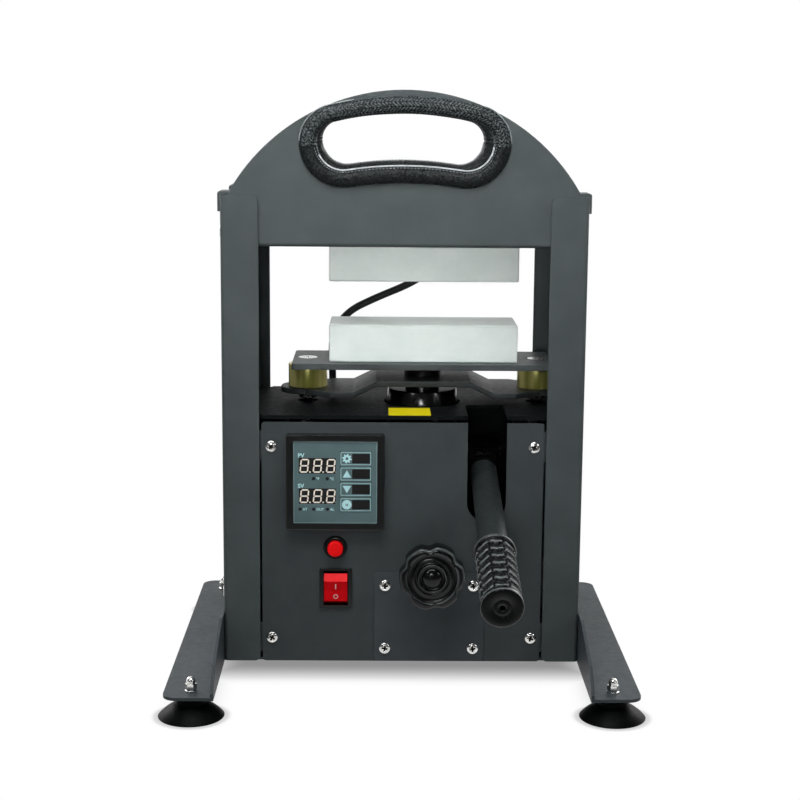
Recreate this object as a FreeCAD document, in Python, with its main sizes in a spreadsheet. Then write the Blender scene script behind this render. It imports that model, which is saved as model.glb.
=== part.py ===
"""Bench-top hydraulic press with two heated platens, in millimetres.

X runs to the right, Y to the back and Z up. The sizes below are measured from the front face of the
posts and from the surface that the feet stand on. Each sub-part is then moved along Y, so that the
origin lies under the middle of the whole press.
"""
import FreeCAD
import Part
import Sketcher
import math
import os
import re

# Driving sizes: name, number, meaning
SIZES = [
    ("post_span", 285.0, "width over both posts"),
    ("post_depth", 139.0, "depth of a post"),
    ("post_flange", 29.2, "width of a post's front and rear flanges"),
    ("post_sheet", 3.0, "thickness of a post's sheet"),
    ("post_foot", 18.5, "height of a post's lower end"),
    ("post_over", 24.8, "reach of the posts over the head's beam"),
    ("post_round", 4.5, "radius of a flange's corners"),
    ("bend_round", 3.0, "outer radius of a sheet's bend"),
    ("weld_gap", 0.3, "clearance between a plate's end and a post's web"),
    ("leg_ahead", 91.0, "reach of a leg ahead of the posts"),
    ("leg_behind", 86.0, "reach of a leg behind the posts"),
    ("leg_plate", 2.5, "thickness of a leg's sheet"),
    ("leg_top", 19.9, "height of a leg's upper face"),
    ("leg_width", 39.1, "width of a leg beside its post"),
    ("leg_round", 11.0, "radius of a leg's outer corners"),
    ("leg_flange", 38.0, "height of a leg's flange over its plate"),
    ("leg_flange_low", 20.0, "height of the flange at its shoulder"),
    ("leg_flange_end", 3.0, "height of the flange at its ends"),
    ("leg_shoulder", 18.0, "distance from a leg's end to the flange's shoulder"),
    ("leg_slope", 13.0, "reach of the flange's full height past a post"),
    ("foot_inset", 20.6, "distance of a foot from its leg's outer edge"),
    ("foot_front_inset", 16.0, "distance of a front foot from its leg's end"),
    ("foot_rear_inset", 26.0, "distance of a rear foot from its leg's end"),
    ("cup_radius", 25.35, "radius of a suction cup's rim"),
    ("cup_rim", 0.8, "height of a suction cup's rim"),
    ("cup_dome", 14.8, "height of a cup's dome over its rim"),
    ("cup_neck", 10.6, "radius of a cup's boss where it meets the dome"),
    ("cup_seat", 13.0, "radius of a cup's boss under the leg"),
    ("cup_boss", 7.2, "height of a cup's boss"),
    ("cup_dish", 1.2, "depth of the dish under a cup"),
    ("cup_lip", 3.0, "width of the rim round the dish"),
    ("stud_radius", 2.5, "radius of a foot's stud"),
    ("stud_clear", 0.15, "clearance round a stud or screw"),
    ("stud_reach", 1.8, "reach of a foot's stud over its nut's hexagon"),
    ("thread_fit", 0.02, "clearance between a thread and its nut"),
    ("nut_across", 8.0, "width across the flats of a foot's cap nut"),
    ("nut_height", 5.0, "height of the nut's hexagon"),
    ("crown_radius", 3.55, "radius of a cap nut's crown"),
    ("crown_straight", 2.0, "height of the crown's straight part"),
    ("crown_dome", 3.4, "height of the crown's dome"),
    ("washer_radius", 4.8, "radius of a washer"),
    ("washer_thick", 1.0, "thickness of a washer"),
    ("press_right", 16.5, "distance of the press axis right of the middle"),
    ("press_behind", 2.5, "distance of the press axis behind the middle of the posts' depth"),
    ("platen_length", 152.0, "length of a platen"),
    ("platen_depth", 55.3, "depth of a platen"),
    ("platen_height", 30.4, "height of a platen"),
    ("platen_edge", 0.8, "chamfer of a platen's edges"),
    ("platen_gap", 35.1, "open height between the platens at rest"),
    ("heater_count", 4, "number of a platen's heater cartridges"),
    ("heater_radius", 4.75, "radius of a heater cartridge"),
    ("heater_length", 42.0, "length of a heater cartridge in its platen"),
    ("heater_pitch", 38.0, "distance between heater cartridges"),
    ("heater_clear", 0.1, "clearance round a heater cartridge"),
    ("heater_tail", 3.0, "reach of a heater cartridge behind its platen"),
    ("lead_box_width", 130.0, "width of the upper platen's lead box"),
    ("lead_box_depth", 27.0, "depth of the lead box"),
    ("lead_box_height", 20.0, "height of the lead box"),
    ("lead_box_wall", 1.5, "wall of the lead box"),
    ("lead_radius", 3.1, "radius of the heater's lead"),
    ("lead_behind", 18.35, "distance of the lead behind the upper platen"),
    ("lead_hole_clear", 0.3, "clearance round the lead in its box"),
    ("gland_clear", 0.6, "clearance round the lead in a gland or the top plate"),
    ("gland_radius", 6.0, "radius of the lead's gland"),
    ("gland_height", 3.5, "height of the lead's gland on the cabinet"),
    ("upper_gland_height", 1.5, "height of the lead's gland under its box"),
    ("pad_thick", 3.3, "thickness of the insulating pad"),
    ("head_bar", 12.0, "thickness of the head's beam"),
    ("head_gap", 1.0, "gap between the posts' flanges and an arch plate"),
    ("head_side", 1.0, "gap between an arch plate's end and a web"),
    ("arch_rise", 117.4, "height of an arch plate's crown over the beam's lower face"),
    ("arch_drop", 83.0625, "drop of an arch plate's crown from its middle to its ends"),
    ("arch_fold", 25.0, "depth of an arch plate's folded lower edge"),
    ("grip_half", 74.9, "half width of a handle wrap's middle line"),
    ("grip_below", 11.3, "distance of the middle line's highest point below the crown"),
    ("grip_rise", 29.3, "height of the middle line's highest point over its widest points"),
    ("grip_fall", 23.7, "drop from its widest points to its lower middle"),
    ("grip_upper_turn", 14.0, "degrees turned by the upper arc's half"),
    ("grip_lower_turn", 9.0, "degrees turned by the lower arc's half"),
    ("grip_radius", 7.3, "radius of a handle wrap's bar"),
    ("grip_bite", 4.0, "depth of the plate's rim past the wrap's middle line"),
    ("tie_depth", 24.0, "depth of a tie strap"),
    ("tie_thick", 2.5, "thickness of a tie strap"),
    ("tie_drop", 15.5, "length of a tie strap's folded end"),
    ("tie_gap", 0.4, "gap between a tie strap and an arch plate"),
    ("tie_round", 2.0, "outer radius of a tie strap's bends"),
    ("cabinet_top", 219.6, "height of the cabinet's top"),
    ("top_thick", 3.2, "thickness of the cabinet's top plate"),
    ("top_gap", 2.4, "gap between the top plate and the front panel"),
    ("panel_gap", 1.8, "gap between the front panel and a post's flange"),
    ("panel_foot", 18.2, "height of the front panel's lower edge"),
    ("panel_thick", 1.5, "thickness of the front panel"),
    ("panel_round", 2.5, "radius of the corners of the panels and the service cover"),
    ("panel_screw_inset", 7.5, "distance of a panel's screws from its sides"),
    ("panel_screw_under", 19.4, "distance of a panel's upper screws from its upper edge"),
    ("panel_screw_over", 19.6, "distance of a panel's lower screws from its lower edge"),
    ("screw_head", 4.6, "radius of a panel screw's head"),
    ("screw_crown", 3.3, "radius of the front of a panel screw's head"),
    ("screw_dome", 2.2, "height of a panel screw's head"),
    ("screw_radius", 2.0, "radius of a panel screw's shank"),
    ("screw_length", 9.0, "length of a panel screw's shank"),
    ("cross_reach", 2.2, "half length of a screw's cross slot"),
    ("cross_half", 0.45, "half width of a screw's cross slot"),
    ("cross_depth", 1.2, "depth of a screw's cross slot"),
    ("tab_height", 24.0, "height of a panel's tab"),
    ("tab_thick", 2.0, "thickness of a panel's tab"),
    ("tab_reach", 7.0, "reach of a tab past its screw"),
    ("angle_width", 12.0, "width of the angles under the top plate"),
    ("angle_thick", 2.0, "thickness of the angles under the top plate"),
    ("angle_inset", 22.0, "distance of an angle's ends from the posts' faces"),
    ("cover_left", -22.0, "place of the service cover's left edge"),
    ("cover_width", 88.0, "width of the service cover"),
    ("cover_foot", 19.0, "height of the service cover's lower edge"),
    ("cover_under", 3.6, "distance of the cover's upper edge below the release valve"),
    ("cover_inset", 8.6, "distance of the cover's screws from its sides"),
    ("cover_inset_up", 10.4, "distance of the cover's screws from its ends"),
    ("cover_hole", 18.0, "margin between the cover's edge and the opening behind it"),
    ("lever_slot", 15.5, "half width of the lever's slot"),
    ("slot_drop", 40.8, "distance of the slot's lower end below the fulcrum"),
    ("slot_back", 51.0, "reach of the slot in the top plate"),
    ("slot_round", 4.0, "radius of the slot's corners in the top plate"),
    ("nut_hole_gap", 1.5, "clearance round the jack's nut in the top plate"),
    ("spring_hole", 8.5, "radius of the top plate's holes for the springs"),
    ("carrier_over", 11.8, "reach of the carrier plate past a carriage bolt"),
    ("carrier_depth", 75.6, "depth of the carrier plate"),
    ("carrier_thick", 5.0, "thickness of the carrier plate"),
    ("carrier_round", 3.0, "radius of the carrier plate's corners"),
    ("spacer_radius", 16.0, "radius of a spacer"),
    ("spacer_length", 18.5, "length of a spacer"),
    ("strap_clear", 6.6, "gap between the lift strap's right end and the post's web"),
    ("strap_over", 22.1, "reach of the lift strap past a carriage bolt"),
    ("strap_neck", 19.3, "distance from a carriage bolt to the strap's full width"),
    ("strap_depth", 75.0, "depth of the lift strap"),
    ("strap_thick", 4.5, "thickness of the lift strap"),
    ("strap_rise", 9.3, "rise of the lift strap's middle"),
    ("strap_flat", 38.0, "half length of the raised middle"),
    ("strap_slope", 19.0, "length of the slope beside the raised middle"),
    ("strap_lift", 7.9, "gap between the lift strap and the top plate at rest"),
    ("strap_tip", 21.0, "half depth of the lift strap's ends"),
    ("strap_tip_flat", 2.1, "half depth of the flat at the lift strap's ends"),
    ("bolt_radius", 4.0, "radius of a carriage bolt"),
    ("bolt_head", 8.0, "radius of a carriage bolt's countersunk head"),
    ("bolt_sink", 3.6, "depth of a carriage bolt's head"),
    ("sink_clear", 0.5, "clearance round a carriage bolt's head"),
    ("driver_reach", 4.2, "half length of the cross slot in a carriage bolt"),
    ("driver_half", 0.6, "half width of the cross slot in a carriage bolt"),
    ("driver_depth", 2.0, "depth of the cross slot in a carriage bolt"),
    ("bolt_nut", 6.5, "half width of a carriage bolt's nut across its flats"),
    ("bolt_nut_height", 5.5, "height of a carriage bolt's nut"),
    ("bolt_tail", 5.0, "reach of a carriage bolt below its nut"),
    ("saddle_radius", 15.0, "radius of the ram's saddle"),
    ("ram_radius", 14.0, "radius of the ram"),
    ("ram_over", 18.0, "height of the ram's lower end over the base beam at rest"),
    ("well_room", 8.0, "depth of the well under the ram at rest"),
    ("slide_fit", 0.05, "radial clearance of a sliding fit"),
    ("nut_gap", 5.8, "gap between the jack's nut and the raised strap at rest"),
    ("nut_upper", 28.0, "radius of the jack nut's upper face"),
    ("nut_lower", 30.0, "radius of the jack nut's cylinder"),
    ("nut_taper", 10.0, "height of the jack nut's taper"),
    ("nut_depth", 24.0, "full height of the jack's nut"),
    ("jack_wall", 3.5, "wall of the jack's reservoir tube"),
    ("jack_outer", 29.0, "outer radius of the jack's reservoir tube"),
    ("cylinder_wall", 5.0, "wall of the jack's inner cylinder"),
    ("beam_foot", 58.0, "height of the base beam's lower face"),
    ("beam_thick", 14.0, "thickness of the base beam"),
    ("beam_ahead", 28.0, "distance of the base beam behind the posts' front"),
    ("cover_sheet", 1.5, "thickness of the bottom cover"),
    ("base_height", 42.0, "height of the jack's base block"),
    ("base_left", 38.5, "reach of the base block left of the press axis"),
    ("base_right", 70.0, "reach of the base block right of the press axis"),
    ("base_ahead", 33.0, "reach of the base block ahead of the press axis"),
    ("base_behind", 38.0, "reach of the base block behind the press axis"),
    ("base_round", 6.0, "radius of the base block's corners"),
    ("pump_offset", 50.25, "distance of the pump right of the press axis"),
    ("pump_behind", 1.0, "distance of the pump behind the press axis"),
    ("pump_outer", 12.0, "outer radius of the pump's body"),
    ("pump_gap", 15.0, "distance of the plunger's head over the pump's body at rest"),
    ("plunger_radius", 6.0, "radius of the pump's plunger"),
    ("plunger_clear", 4.0, "distance of the plunger's lower end over the base block at rest"),
    ("plunger_half", 6.3, "half width of the plunger's head"),
    ("plunger_deep", 9.5, "half depth of the plunger's head"),
    ("plunger_rise", 7.5, "half height of the plunger's head"),
    ("pin_radius", 3.0, "radius of the pump's pin"),
    ("pin_play", 0.6, "clearance over and under the pump's pin in the slotted head"),
    ("pin_slide", 2.4, "travel of the pump's pin along the slotted head"),
    ("pin_ahead", 0.56, "distance of the pump's pin ahead of the pump's axis at rest"),
    ("pump_arm", 24.0, "distance of the pump's pin from the fulcrum"),
    ("fulcrum_under", 44.5, "distance of the fulcrum below the cabinet's top"),
    ("fulcrum_radius", 4.0, "radius of the fulcrum's pin"),
    ("fulcrum_head", 2.0, "height and overhang of the head of the fulcrum's pin"),
    ("lever_tilt", 11.0, "degrees by which the lever slopes down at rest"),
    ("lever_reach", 287.3, "distance of the grip's end from the fulcrum"),
    ("tube_radius", 11.0, "radius of the lever's tube"),
    ("tube_wall", 2.0, "wall of the lever's tube"),
    ("spigot_length", 52.0, "reach of the socket's spigot into the lever's tube"),
    ("spigot_fit", 0.1, "clearance round the spigot"),
    ("socket_half", 11.0, "half width of the lever's socket"),
    ("socket_front", 47.0, "reach of the socket's block ahead of the fulcrum"),
    ("socket_high", 9.0, "half height of the socket's block"),
    ("socket_collar", 5.0, "length of the socket's collar ahead of its block"),
    ("fork_start", 9.5, "distance of the fork's rear end from the fulcrum"),
    ("fork_end", 5.0, "thickness of the socket ahead of its fork"),
    ("cheek_gap", 0.4, "clearance between the plunger's head and a cheek"),
    ("bracket_gap", 0.4, "clearance between the socket and the fulcrum's bracket"),
    ("bracket_plate", 4.0, "thickness of the fulcrum bracket's plates"),
    ("bracket_foot", 5.0, "thickness of the fulcrum bracket's foot"),
    ("bracket_half", 10.0, "half depth of the fulcrum's bracket"),
    ("bracket_over", 10.0, "height of the bracket over the fulcrum"),
    ("rubber_length", 87.6, "length of the lever's grip"),
    ("rubber_radius", 13.4, "radius of the grip's middle"),
    ("rubber_collar", 16.0, "radius of the grip's collar"),
    ("rubber_collar_length", 5.0, "length of the grip's collar"),
    ("rubber_end", 14.8, "radius of the grip's end"),
    ("rubber_end_length", 4.0, "length of the grip's wider end"),
    ("rubber_rib", 0.9, "height of the grip's ribs"),
    ("rubber_rib_width", 4.0, "width of the grip's ribs"),
    ("rubber_ribs", 6, "number of the grip's ribs"),
    ("rubber_rib_start", 10.0, "distance of the first rib from the grip's end"),
    ("rubber_rib_stop", 14.0, "distance of the last rib's front from the grip's rear"),
    ("rubber_cap", 4.0, "thickness of the grip's closed end"),
    ("rubber_vent", 2.0, "radius of the hole in the grip's end"),
    ("valve_right", 7.0, "distance of the release valve right of the press axis"),
    ("valve_over", 23.6, "height of the release valve over the base beam"),
    ("valve_radius", 5.0, "radius of the release valve's shaft"),
    ("valve_clear", 2.0, "clearance round the valve's shaft in the front panel"),
    ("valve_depth", 16.0, "depth of the valve in the base block"),
    ("knob_radius", 26.0, "radius of the release knob"),
    ("knob_back", 12.0, "distance of the knob's rear face ahead of the posts"),
    ("knob_thick", 18.6, "thickness of the knob"),
    ("knob_hub", 5.0, "height of the hub behind the knob"),
    ("knob_cap", 7.6, "thickness of the knob ahead of its shaft"),
    ("knob_lobes", 6, "number of the knob's lobes"),
    ("knob_turn", 36.0, "degrees of the first hollow from the knob's right"),
    ("knob_hollow", 14.0, "radius of a hollow in the knob's rim"),
    ("knob_bite", 2.5, "depth of a hollow in the knob's rim"),
    ("knob_rim", 19.7, "inner radius of the knob's rim"),
    ("knob_recess", 3.5, "depth of the knob's face behind its rim"),
    ("knob_ring", 11.8, "outer radius of the ring on the knob's face"),
    ("knob_ring_inner", 9.8, "inner radius of the ring on the knob's face"),
    ("knob_ring_high", 2.4, "height of the ring over the knob's face"),
    ("knob_dome", 8.0, "radius of the dome in the knob's middle"),
    ("knob_dome_high", 3.2, "height of the dome over the knob's face"),
    ("meter_inset", 19.3, "distance of the controller's bezel from the front panel's left edge"),
    ("meter_under", 8.5, "distance of the bezel below the front panel's upper edge"),
    ("meter_width", 78.0, "width of the controller's bezel"),
    ("meter_height", 77.0, "height of the controller's bezel"),
    ("meter_proud", 8.0, "depth of the controller's bezel ahead of the panel"),
    ("meter_round", 2.0, "radius of the bezel's corners"),
    ("meter_body", 67.0, "width of the controller's case"),
    ("meter_depth", 55.0, "depth of the controller's case behind the panel"),
    ("meter_clear", 0.3, "clearance round the controller's case in the panel"),
    ("meter_face", 66.0, "width of the controller's face plate"),
    ("meter_face_gap", 0.15, "gap round the face plate"),
    ("meter_sink", 1.2, "depth of the face plate behind the bezel's rim"),
    ("meter_plate", 2.0, "thickness of the face plate"),
    ("key_right", 16.2, "distance of the keys' middle right of the controller's middle"),
    ("key_width", 24.4, "width of a key"),
    ("key_height", 10.6, "height of a key"),
    ("key_round", 1.2, "radius of a key's corners"),
    ("key_top", 19.5, "height of the upper key's middle over the controller's middle"),
    ("key_pitch", 12.4, "distance between two keys"),
    ("key_proud", 0.5, "height of a key over the face plate"),
    ("key_gap", 0.25, "gap round a key"),
    ("key_travel", 0.6, "travel of a key"),
    ("key_room", 0.2, "room left behind a pressed key"),
    ("window_left", -28.9, "place of the windows' left edge from the controller's middle"),
    ("window_width", 29.5, "width of a display window"),
    ("window_height", 12.7, "height of a display window"),
    ("window_sink", 0.4, "depth of a display window behind the face plate's front"),
    ("window_upper", 13.4, "height of the upper window's middle over the controller's"),
    ("window_lower", -11.1, "height of the lower window's middle over the controller's"),
    ("button_under", 15.9, "distance of the push button's middle below the controller's bezel"),
    ("button_radius", 9.7, "radius of the push button's bezel"),
    ("button_bezel", 3.0, "height of the push button's bezel"),
    ("button_bevel", 1.2, "width of the bevel round the push button's bezel"),
    ("button_barrel", 8.0, "radius of the push button's barrel"),
    ("button_depth", 24.0, "depth of the push button's barrel"),
    ("button_well", 9.0, "depth of the well in the push button's barrel"),
    ("cutout_clear", 0.2, "clearance round a switch in its panel"),
    ("cap_radius", 6.25, "radius of the button's cap"),
    ("cap_round", 0.9, "radius of the cap's front edge"),
    ("cap_proud", 7.0, "height of the button's cap ahead of the panel"),
    ("cap_travel", 2.5, "travel of the button's cap"),
    ("cap_gap", 0.3, "gap round the button's cap"),
    ("rocker_aside", 0.4, "distance of the rocker switch right of the push button"),
    ("rocker_under", 33.2, "distance of the rocker switch's middle below the push button's"),
    ("rocker_width", 25.8, "width of the rocker switch's bezel"),
    ("rocker_height", 32.4, "height of the rocker switch's bezel"),
    ("rocker_bezel", 2.0, "height of the rocker switch's bezel"),
    ("rocker_round", 1.0, "radius of the bezel's corners"),
    ("rocker_case_width", 21.6, "width of the rocker switch's case"),
    ("rocker_case_height", 30.4, "height of the rocker switch's case"),
    ("rocker_depth", 24.0, "depth of the rocker switch's case"),
    ("rocker_room", 14.0, "depth of the room in the rocker switch's case"),
    ("rocker_face_width", 18.6, "width of the rocker"),
    ("rocker_face_half", 8.8, "half height of the rocker's front face"),
    ("rocker_end_half", 13.2, "half height of the rocker over its sloping ends"),
    ("rocker_hollow", 0.5, "depth of the hollow in the rocker's front face"),
    ("rocker_slope", 5.7, "depth of the rocker's sloping ends"),
    ("rocker_heel", 3.0, "reach of the rocker's rear corners behind its pin"),
    ("rocker_keel", 4.5, "reach of the rocker's rear middle behind its pin"),
    ("rocker_pin", 1.5, "radius of the rocker's pin"),
    ("rocker_tilt", 12.0, "degrees of the rocker's face from upright"),
    ("rocker_gap", 0.4, "gap beside the rocker"),
    ("rocker_end_gap", 1.05, "gap over and under the rocker's ends"),
    ("rocker_swell", 4.2, "height of the rocker's crest ahead of the panel"),
    ("rocker_pivot", 6.0, "depth of the rocker's pivot behind the panel's front"),
    ("spring_outer", 6.0, "outer radius of a return spring"),
    ("spring_wire", 1.1, "radius of a return spring's wire"),
    ("spring_coils", 16, "number of a return spring's coils"),
    ("inlet_inset", 36.5, "distance of the power inlet's middle from the rear panel's side"),
    ("inlet_over", 41.8, "height of the power inlet's middle over the panel's lower edge"),
    ("inlet_width", 30.0, "width of the power inlet's flange"),
    ("inlet_height", 24.0, "height of the power inlet's flange"),
    ("inlet_flange", 2.0, "thickness of the power inlet's flange"),
    ("inlet_round", 2.0, "radius of the flange's corners"),
    ("inlet_socket", 22.0, "width of the power inlet's socket"),
    ("inlet_socket_height", 15.0, "height of the power inlet's socket"),
    ("inlet_wall", 1.5, "wall of the power inlet's body"),
    ("inlet_back", 2.0, "thickness of the power inlet's rear wall"),
    ("inlet_depth", 20.0, "depth of the power inlet's socket"),
    ("blade_pitch", 7.0, "distance of an outer blade from the socket's middle"),
    ("blade_lift", 2.0, "height of the middle blade over the socket's middle"),
    ("blade_drop", 1.0, "distance of an outer blade below the socket's middle"),
    ("blade_half", 1.0, "half width of a blade"),
    ("blade_tall", 2.0, "half height of a blade"),
    ("blade_sink", 4.0, "depth of the blades' ends behind the flange"),
    ("side_bolt", 4.0, "radius of a side bolt"),
    ("side_head", 6.5, "radius of a side bolt's head"),
    ("side_head_thick", 3.4, "thickness of a side bolt's head"),
    ("side_bolt_inset", 40.0, "distance of a side bolt from a post's faces"),
    ("side_bolt_length", 22.0, "length of a side bolt's shank"),
    ("leg_bolt", 3.0, "radius of a leg's bolt"),
    ("leg_bolt_head", 5.0, "radius of a leg bolt's head"),
    ("leg_bolt_thick", 2.4, "thickness of a leg bolt's head"),
    ("leg_bolt_over", 19.1, "height of the legs' bolts over a leg's upper face"),
    ("leg_bolt_inset", 26.0, "distance of a leg's bolt from a post's faces"),
    ("leg_nut_height", 5.0, "height of a leg bolt's nut"),
    ("leg_bolt_tail", 1.0, "reach of a leg bolt past its nut"),
    ("platen_bolt", 3.0, "radius of an upper platen's bolt"),
    ("platen_bolt_head", 5.0, "radius of an upper platen bolt's head"),
    ("platen_bolt_cap", 6.0, "height of an upper platen bolt's head"),
    ("platen_bolt_key", 2.5, "half width across the flats of the bolt's socket"),
    ("platen_bolt_socket", 3.0, "depth of the bolt's socket"),
    ("platen_bolt_inset", 12.0, "distance of the platen's bolts from its sides"),
    ("platen_bolt_depth", 10.0, "depth of the bolt holes in the upper platen"),
    ("vent_count", 6, "number of the rear panel's vents"),
    ("vent_width", 4.4, "width of a vent"),
    ("vent_length", 40.0, "length of a vent"),
    ("vent_pitch", 10.0, "distance between two vents"),
    ("vent_left", 80.0, "distance of the first vent left of the middle, behind the controller"),
    ("vent_under", 64.0, "distance of the vents' middle below the panel's upper edge"),
]

# Points of the upper platen's lead, from its gland down to the cabinet: right of the middle, height
LEAD_POINTS = [(19.0, 326.0), (17.0, 318.5), (4.0, 310.5), (-22.0, 299.8), (-47.0, 287.5),
               (-60.5, 268.5), (-62.0, 248.0), (-59.3, 231.0), (-59.0, 215.0)]

NUMBERS = {name: number for name, number, meaning in SIZES}
doc = FreeCAD.newDocument("hydraulic_press")
sheet = doc.addObject("Spreadsheet::Sheet", "sizes")
for row, (name, number, meaning) in enumerate(SIZES, start=1):
    sheet.set("A%d" % row, meaning)
    sheet.set("B%d" % row, str(number))
    sheet.setAlias("B%d" % row, name)
doc.recompute()

# Names of the lines and places that several sub-parts share
WEB = "(post_span/2 - post_sheet)"
LEG_BACK = "(post_depth + leg_behind)"
LEG_EDGE = "(post_span/2 + leg_width)"
LEG_BOLT_HIGH = "(leg_top + leg_bolt_over)"
PANEL_BACK = "post_sheet"
PANEL_FRONT = "(post_sheet - panel_thick)"
PANEL_HALF = "(post_span/2 - post_flange - panel_gap)"
PANEL_TOP = "(cabinet_top - top_thick - top_gap)"
PRESS_BACK = "(post_depth/2 + press_behind)"
PUMP_RIGHT = "(press_right + pump_offset)"
PUMP_BACK = "(%s + pump_behind)" % PRESS_BACK
VALVE_RIGHT = "(press_right + valve_right)"
BEAM_TOP = "(beam_foot + beam_thick)"
BASE_TOP = "(beam_foot + beam_thick + base_height)"
BASE_FRONT = "(%s - base_ahead)" % PRESS_BACK
RAM_FOOT = "(%s + ram_over)" % BEAM_TOP
VALVE_HIGH = "(%s + valve_over)" % BEAM_TOP
COVER_TOP = "(%s - cover_under)" % VALVE_HIGH
STRAP_FOOT = "(cabinet_top + strap_lift)"
STRAP_HALF = "(%s - press_right - strap_clear)" % WEB
BOLT_OFFSET = "(%s - strap_over)" % STRAP_HALF
NUT_TOP = "(%s + strap_rise - nut_gap)" % STRAP_FOOT
CARRIER_FOOT = "(cabinet_top + strap_lift + strap_thick + spacer_length)"
CARRIER_HALF = "(%s + carrier_over)" % BOLT_OFFSET
LOWER_FOOT = "(cabinet_top + strap_lift + strap_thick + spacer_length + carrier_thick)"
LOWER_TOP = "(%s + platen_height)" % LOWER_FOOT
UPPER_FOOT = "(%s + platen_gap)" % LOWER_TOP
UPPER_TOP = "(%s + platen_height)" % UPPER_FOOT
HEAD_FOOT = "(%s + pad_thick)" % UPPER_TOP
HEAD_TOP = "(%s + head_bar)" % HEAD_FOOT
POST_TOP = "(%s + post_over)" % HEAD_TOP
ARCH_TOP = "(%s + arch_rise)" % HEAD_FOOT
ARCH_HALF = "(%s - head_side)" % WEB
ARCH_RADIUS = "((%s^2 + arch_drop^2)/(2*arch_drop))" % ARCH_HALF
PLATEN_LEFT = "(press_right - platen_length/2)"
PLATEN_RIGHT = "(press_right + platen_length/2)"
PLATEN_FRONT = "(%s - platen_depth/2)" % PRESS_BACK
PLATEN_BACK = "(%s + platen_depth/2)" % PRESS_BACK
LEAD_BACK = "(%s + lead_behind)" % PLATEN_BACK
FULCRUM_HIGH = "(cabinet_top - fulcrum_under)"
FULCRUM_BACK = "(%s - pin_ahead + pump_arm*cos(lever_tilt))" % PUMP_BACK
PIN_HIGH = "(%s - pump_arm*sin(lever_tilt))" % FULCRUM_HIGH
TUBE_START = "(socket_front + socket_collar)"
TIP_BACK = "(%s - lever_reach*cos(lever_tilt) - rubber_end*sin(lever_tilt))" % FULCRUM_BACK
METER_RIGHT = "(meter_inset + meter_width/2 - %s)" % PANEL_HALF
METER_HIGH = "(%s - meter_under - meter_height/2)" % PANEL_TOP
BUTTON_HIGH = "(%s - meter_height/2 - button_under)" % METER_HIGH
ROCKER_RIGHT = "(%s + rocker_aside)" % METER_RIGHT
ROCKER_HIGH = "(%s - rocker_under)" % BUTTON_HIGH
INLET_RIGHT = "(inlet_inset - %s)" % PANEL_HALF
INLET_HIGH = "(panel_foot + inlet_over)"
SHIFT = "(-(%s + %s)/2)" % (LEG_BACK, TIP_BACK)

TURN_X = FreeCAD.Rotation(FreeCAD.Vector(0, 1, 0), 90)
TURN_Y = FreeCAD.Rotation(FreeCAD.Vector(1, 0, 0), -90)
TURNS = {"x": TURN_X, "y": TURN_Y, "z": FreeCAD.Rotation()}
ALONG = {"x": "yzx", "y": "xzy", "z": "xyz"}
NORMALS = {"XY_Plane": 1, "XZ_Plane": -1, "YZ_Plane": 1}

parts = []
own_place = {}


def full(text):
    """Lead each size's name with the name of the sheet."""
    return re.sub(r"[a-z][a-z_]*", lambda word: "sizes." + word.group() if word.group() in NUMBERS
                  else word.group(), text)


def bind(thing, path, text):
    thing.setExpression(path, full(text))


def size(name):
    """Read one size from the sheet."""
    return float(sheet.get(name))


def value(text):
    """Work out an expression of sizes, in millimetres."""
    answer = sheet.evalExpression(full(text))
    return float(getattr(answer, "Value", answer))


def place(thing, spots, turn=None):
    """Put a primitive at three expressions, by axis letter."""
    if turn is not None:
        thing.Placement = FreeCAD.Placement(FreeCAD.Vector(), turn)
    for letter in "xyz":
        bind(thing, "Placement.Base." + letter, spots[letter])
    own_place[thing.Name] = dict(spots)


def block(name, x, y, z):
    """Make a box from its low and high limits along each axis."""
    thing = doc.addObject("Part::Box", name)
    for path, (low, high) in (("Length", x), ("Width", y), ("Height", z)):
        bind(thing, path, "(%s) - (%s)" % (high, low))
    place(thing, {"x": x[0], "y": y[0], "z": z[0]})
    return thing


def turned(kind, name, axis, at, span, radii):
    """Make a round solid along an axis: at gives the two other places, span its two ends."""
    thing = doc.addObject(kind, name)
    for path, text in radii:
        bind(thing, path, text)
    bind(thing, "Height", "(%s) - (%s)" % (span[1], span[0]))
    first, second, third = ALONG[axis]
    place(thing, {first: at[0], second: at[1], third: span[0]}, TURNS[axis])
    return thing


def rod(name, axis, at, span, radius):
    return turned("Part::Cylinder", name, axis, at, span, [("Radius", radius)])


def cone(name, axis, at, span, first, second):
    return turned("Part::Cone", name, axis, at, span, [("Radius1", first), ("Radius2", second)])


def dome(name, axis, at, foot, radius, height, forward=False):
    """Make a ball's cap on a flat foot, that rises along an axis or, forward, against it."""
    ball = "((%s^2 + %s^2)/(2*%s))" % (radius, height, height)
    sunk = "(%s - %s)" % (ball, height)
    thing = doc.addObject("Part::Sphere", name)
    bind(thing, "Radius", ball)
    if forward:
        bind(thing, "Angle2", "-asin(%s/%s)" % (sunk, ball))
        middle = "%s + %s" % (foot, sunk)
    else:
        bind(thing, "Angle1", "asin(%s/%s)" % (sunk, ball))
        middle = "%s - %s" % (foot, sunk)
    first, second, third = ALONG[axis]
    place(thing, {first: at[0], second: at[1], third: middle}, TURNS[axis])
    return thing


def hexagon(name, axis, at, span, half_flats):
    """Make a hexagonal prism from half its width across the flats."""
    thing = turned("Part::Prism", name, axis, at, span, [("Circumradius", "(%s)/cos(30)" % half_flats)])
    thing.Polygon = 6
    return thing


def fuse(name, things):
    thing = doc.addObject("Part::MultiFuse", name)
    thing.Shapes = things
    thing.Refine = True
    return thing


def group(name, things):
    thing = doc.addObject("Part::Compound", name)
    thing.Links = things
    return thing


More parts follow.
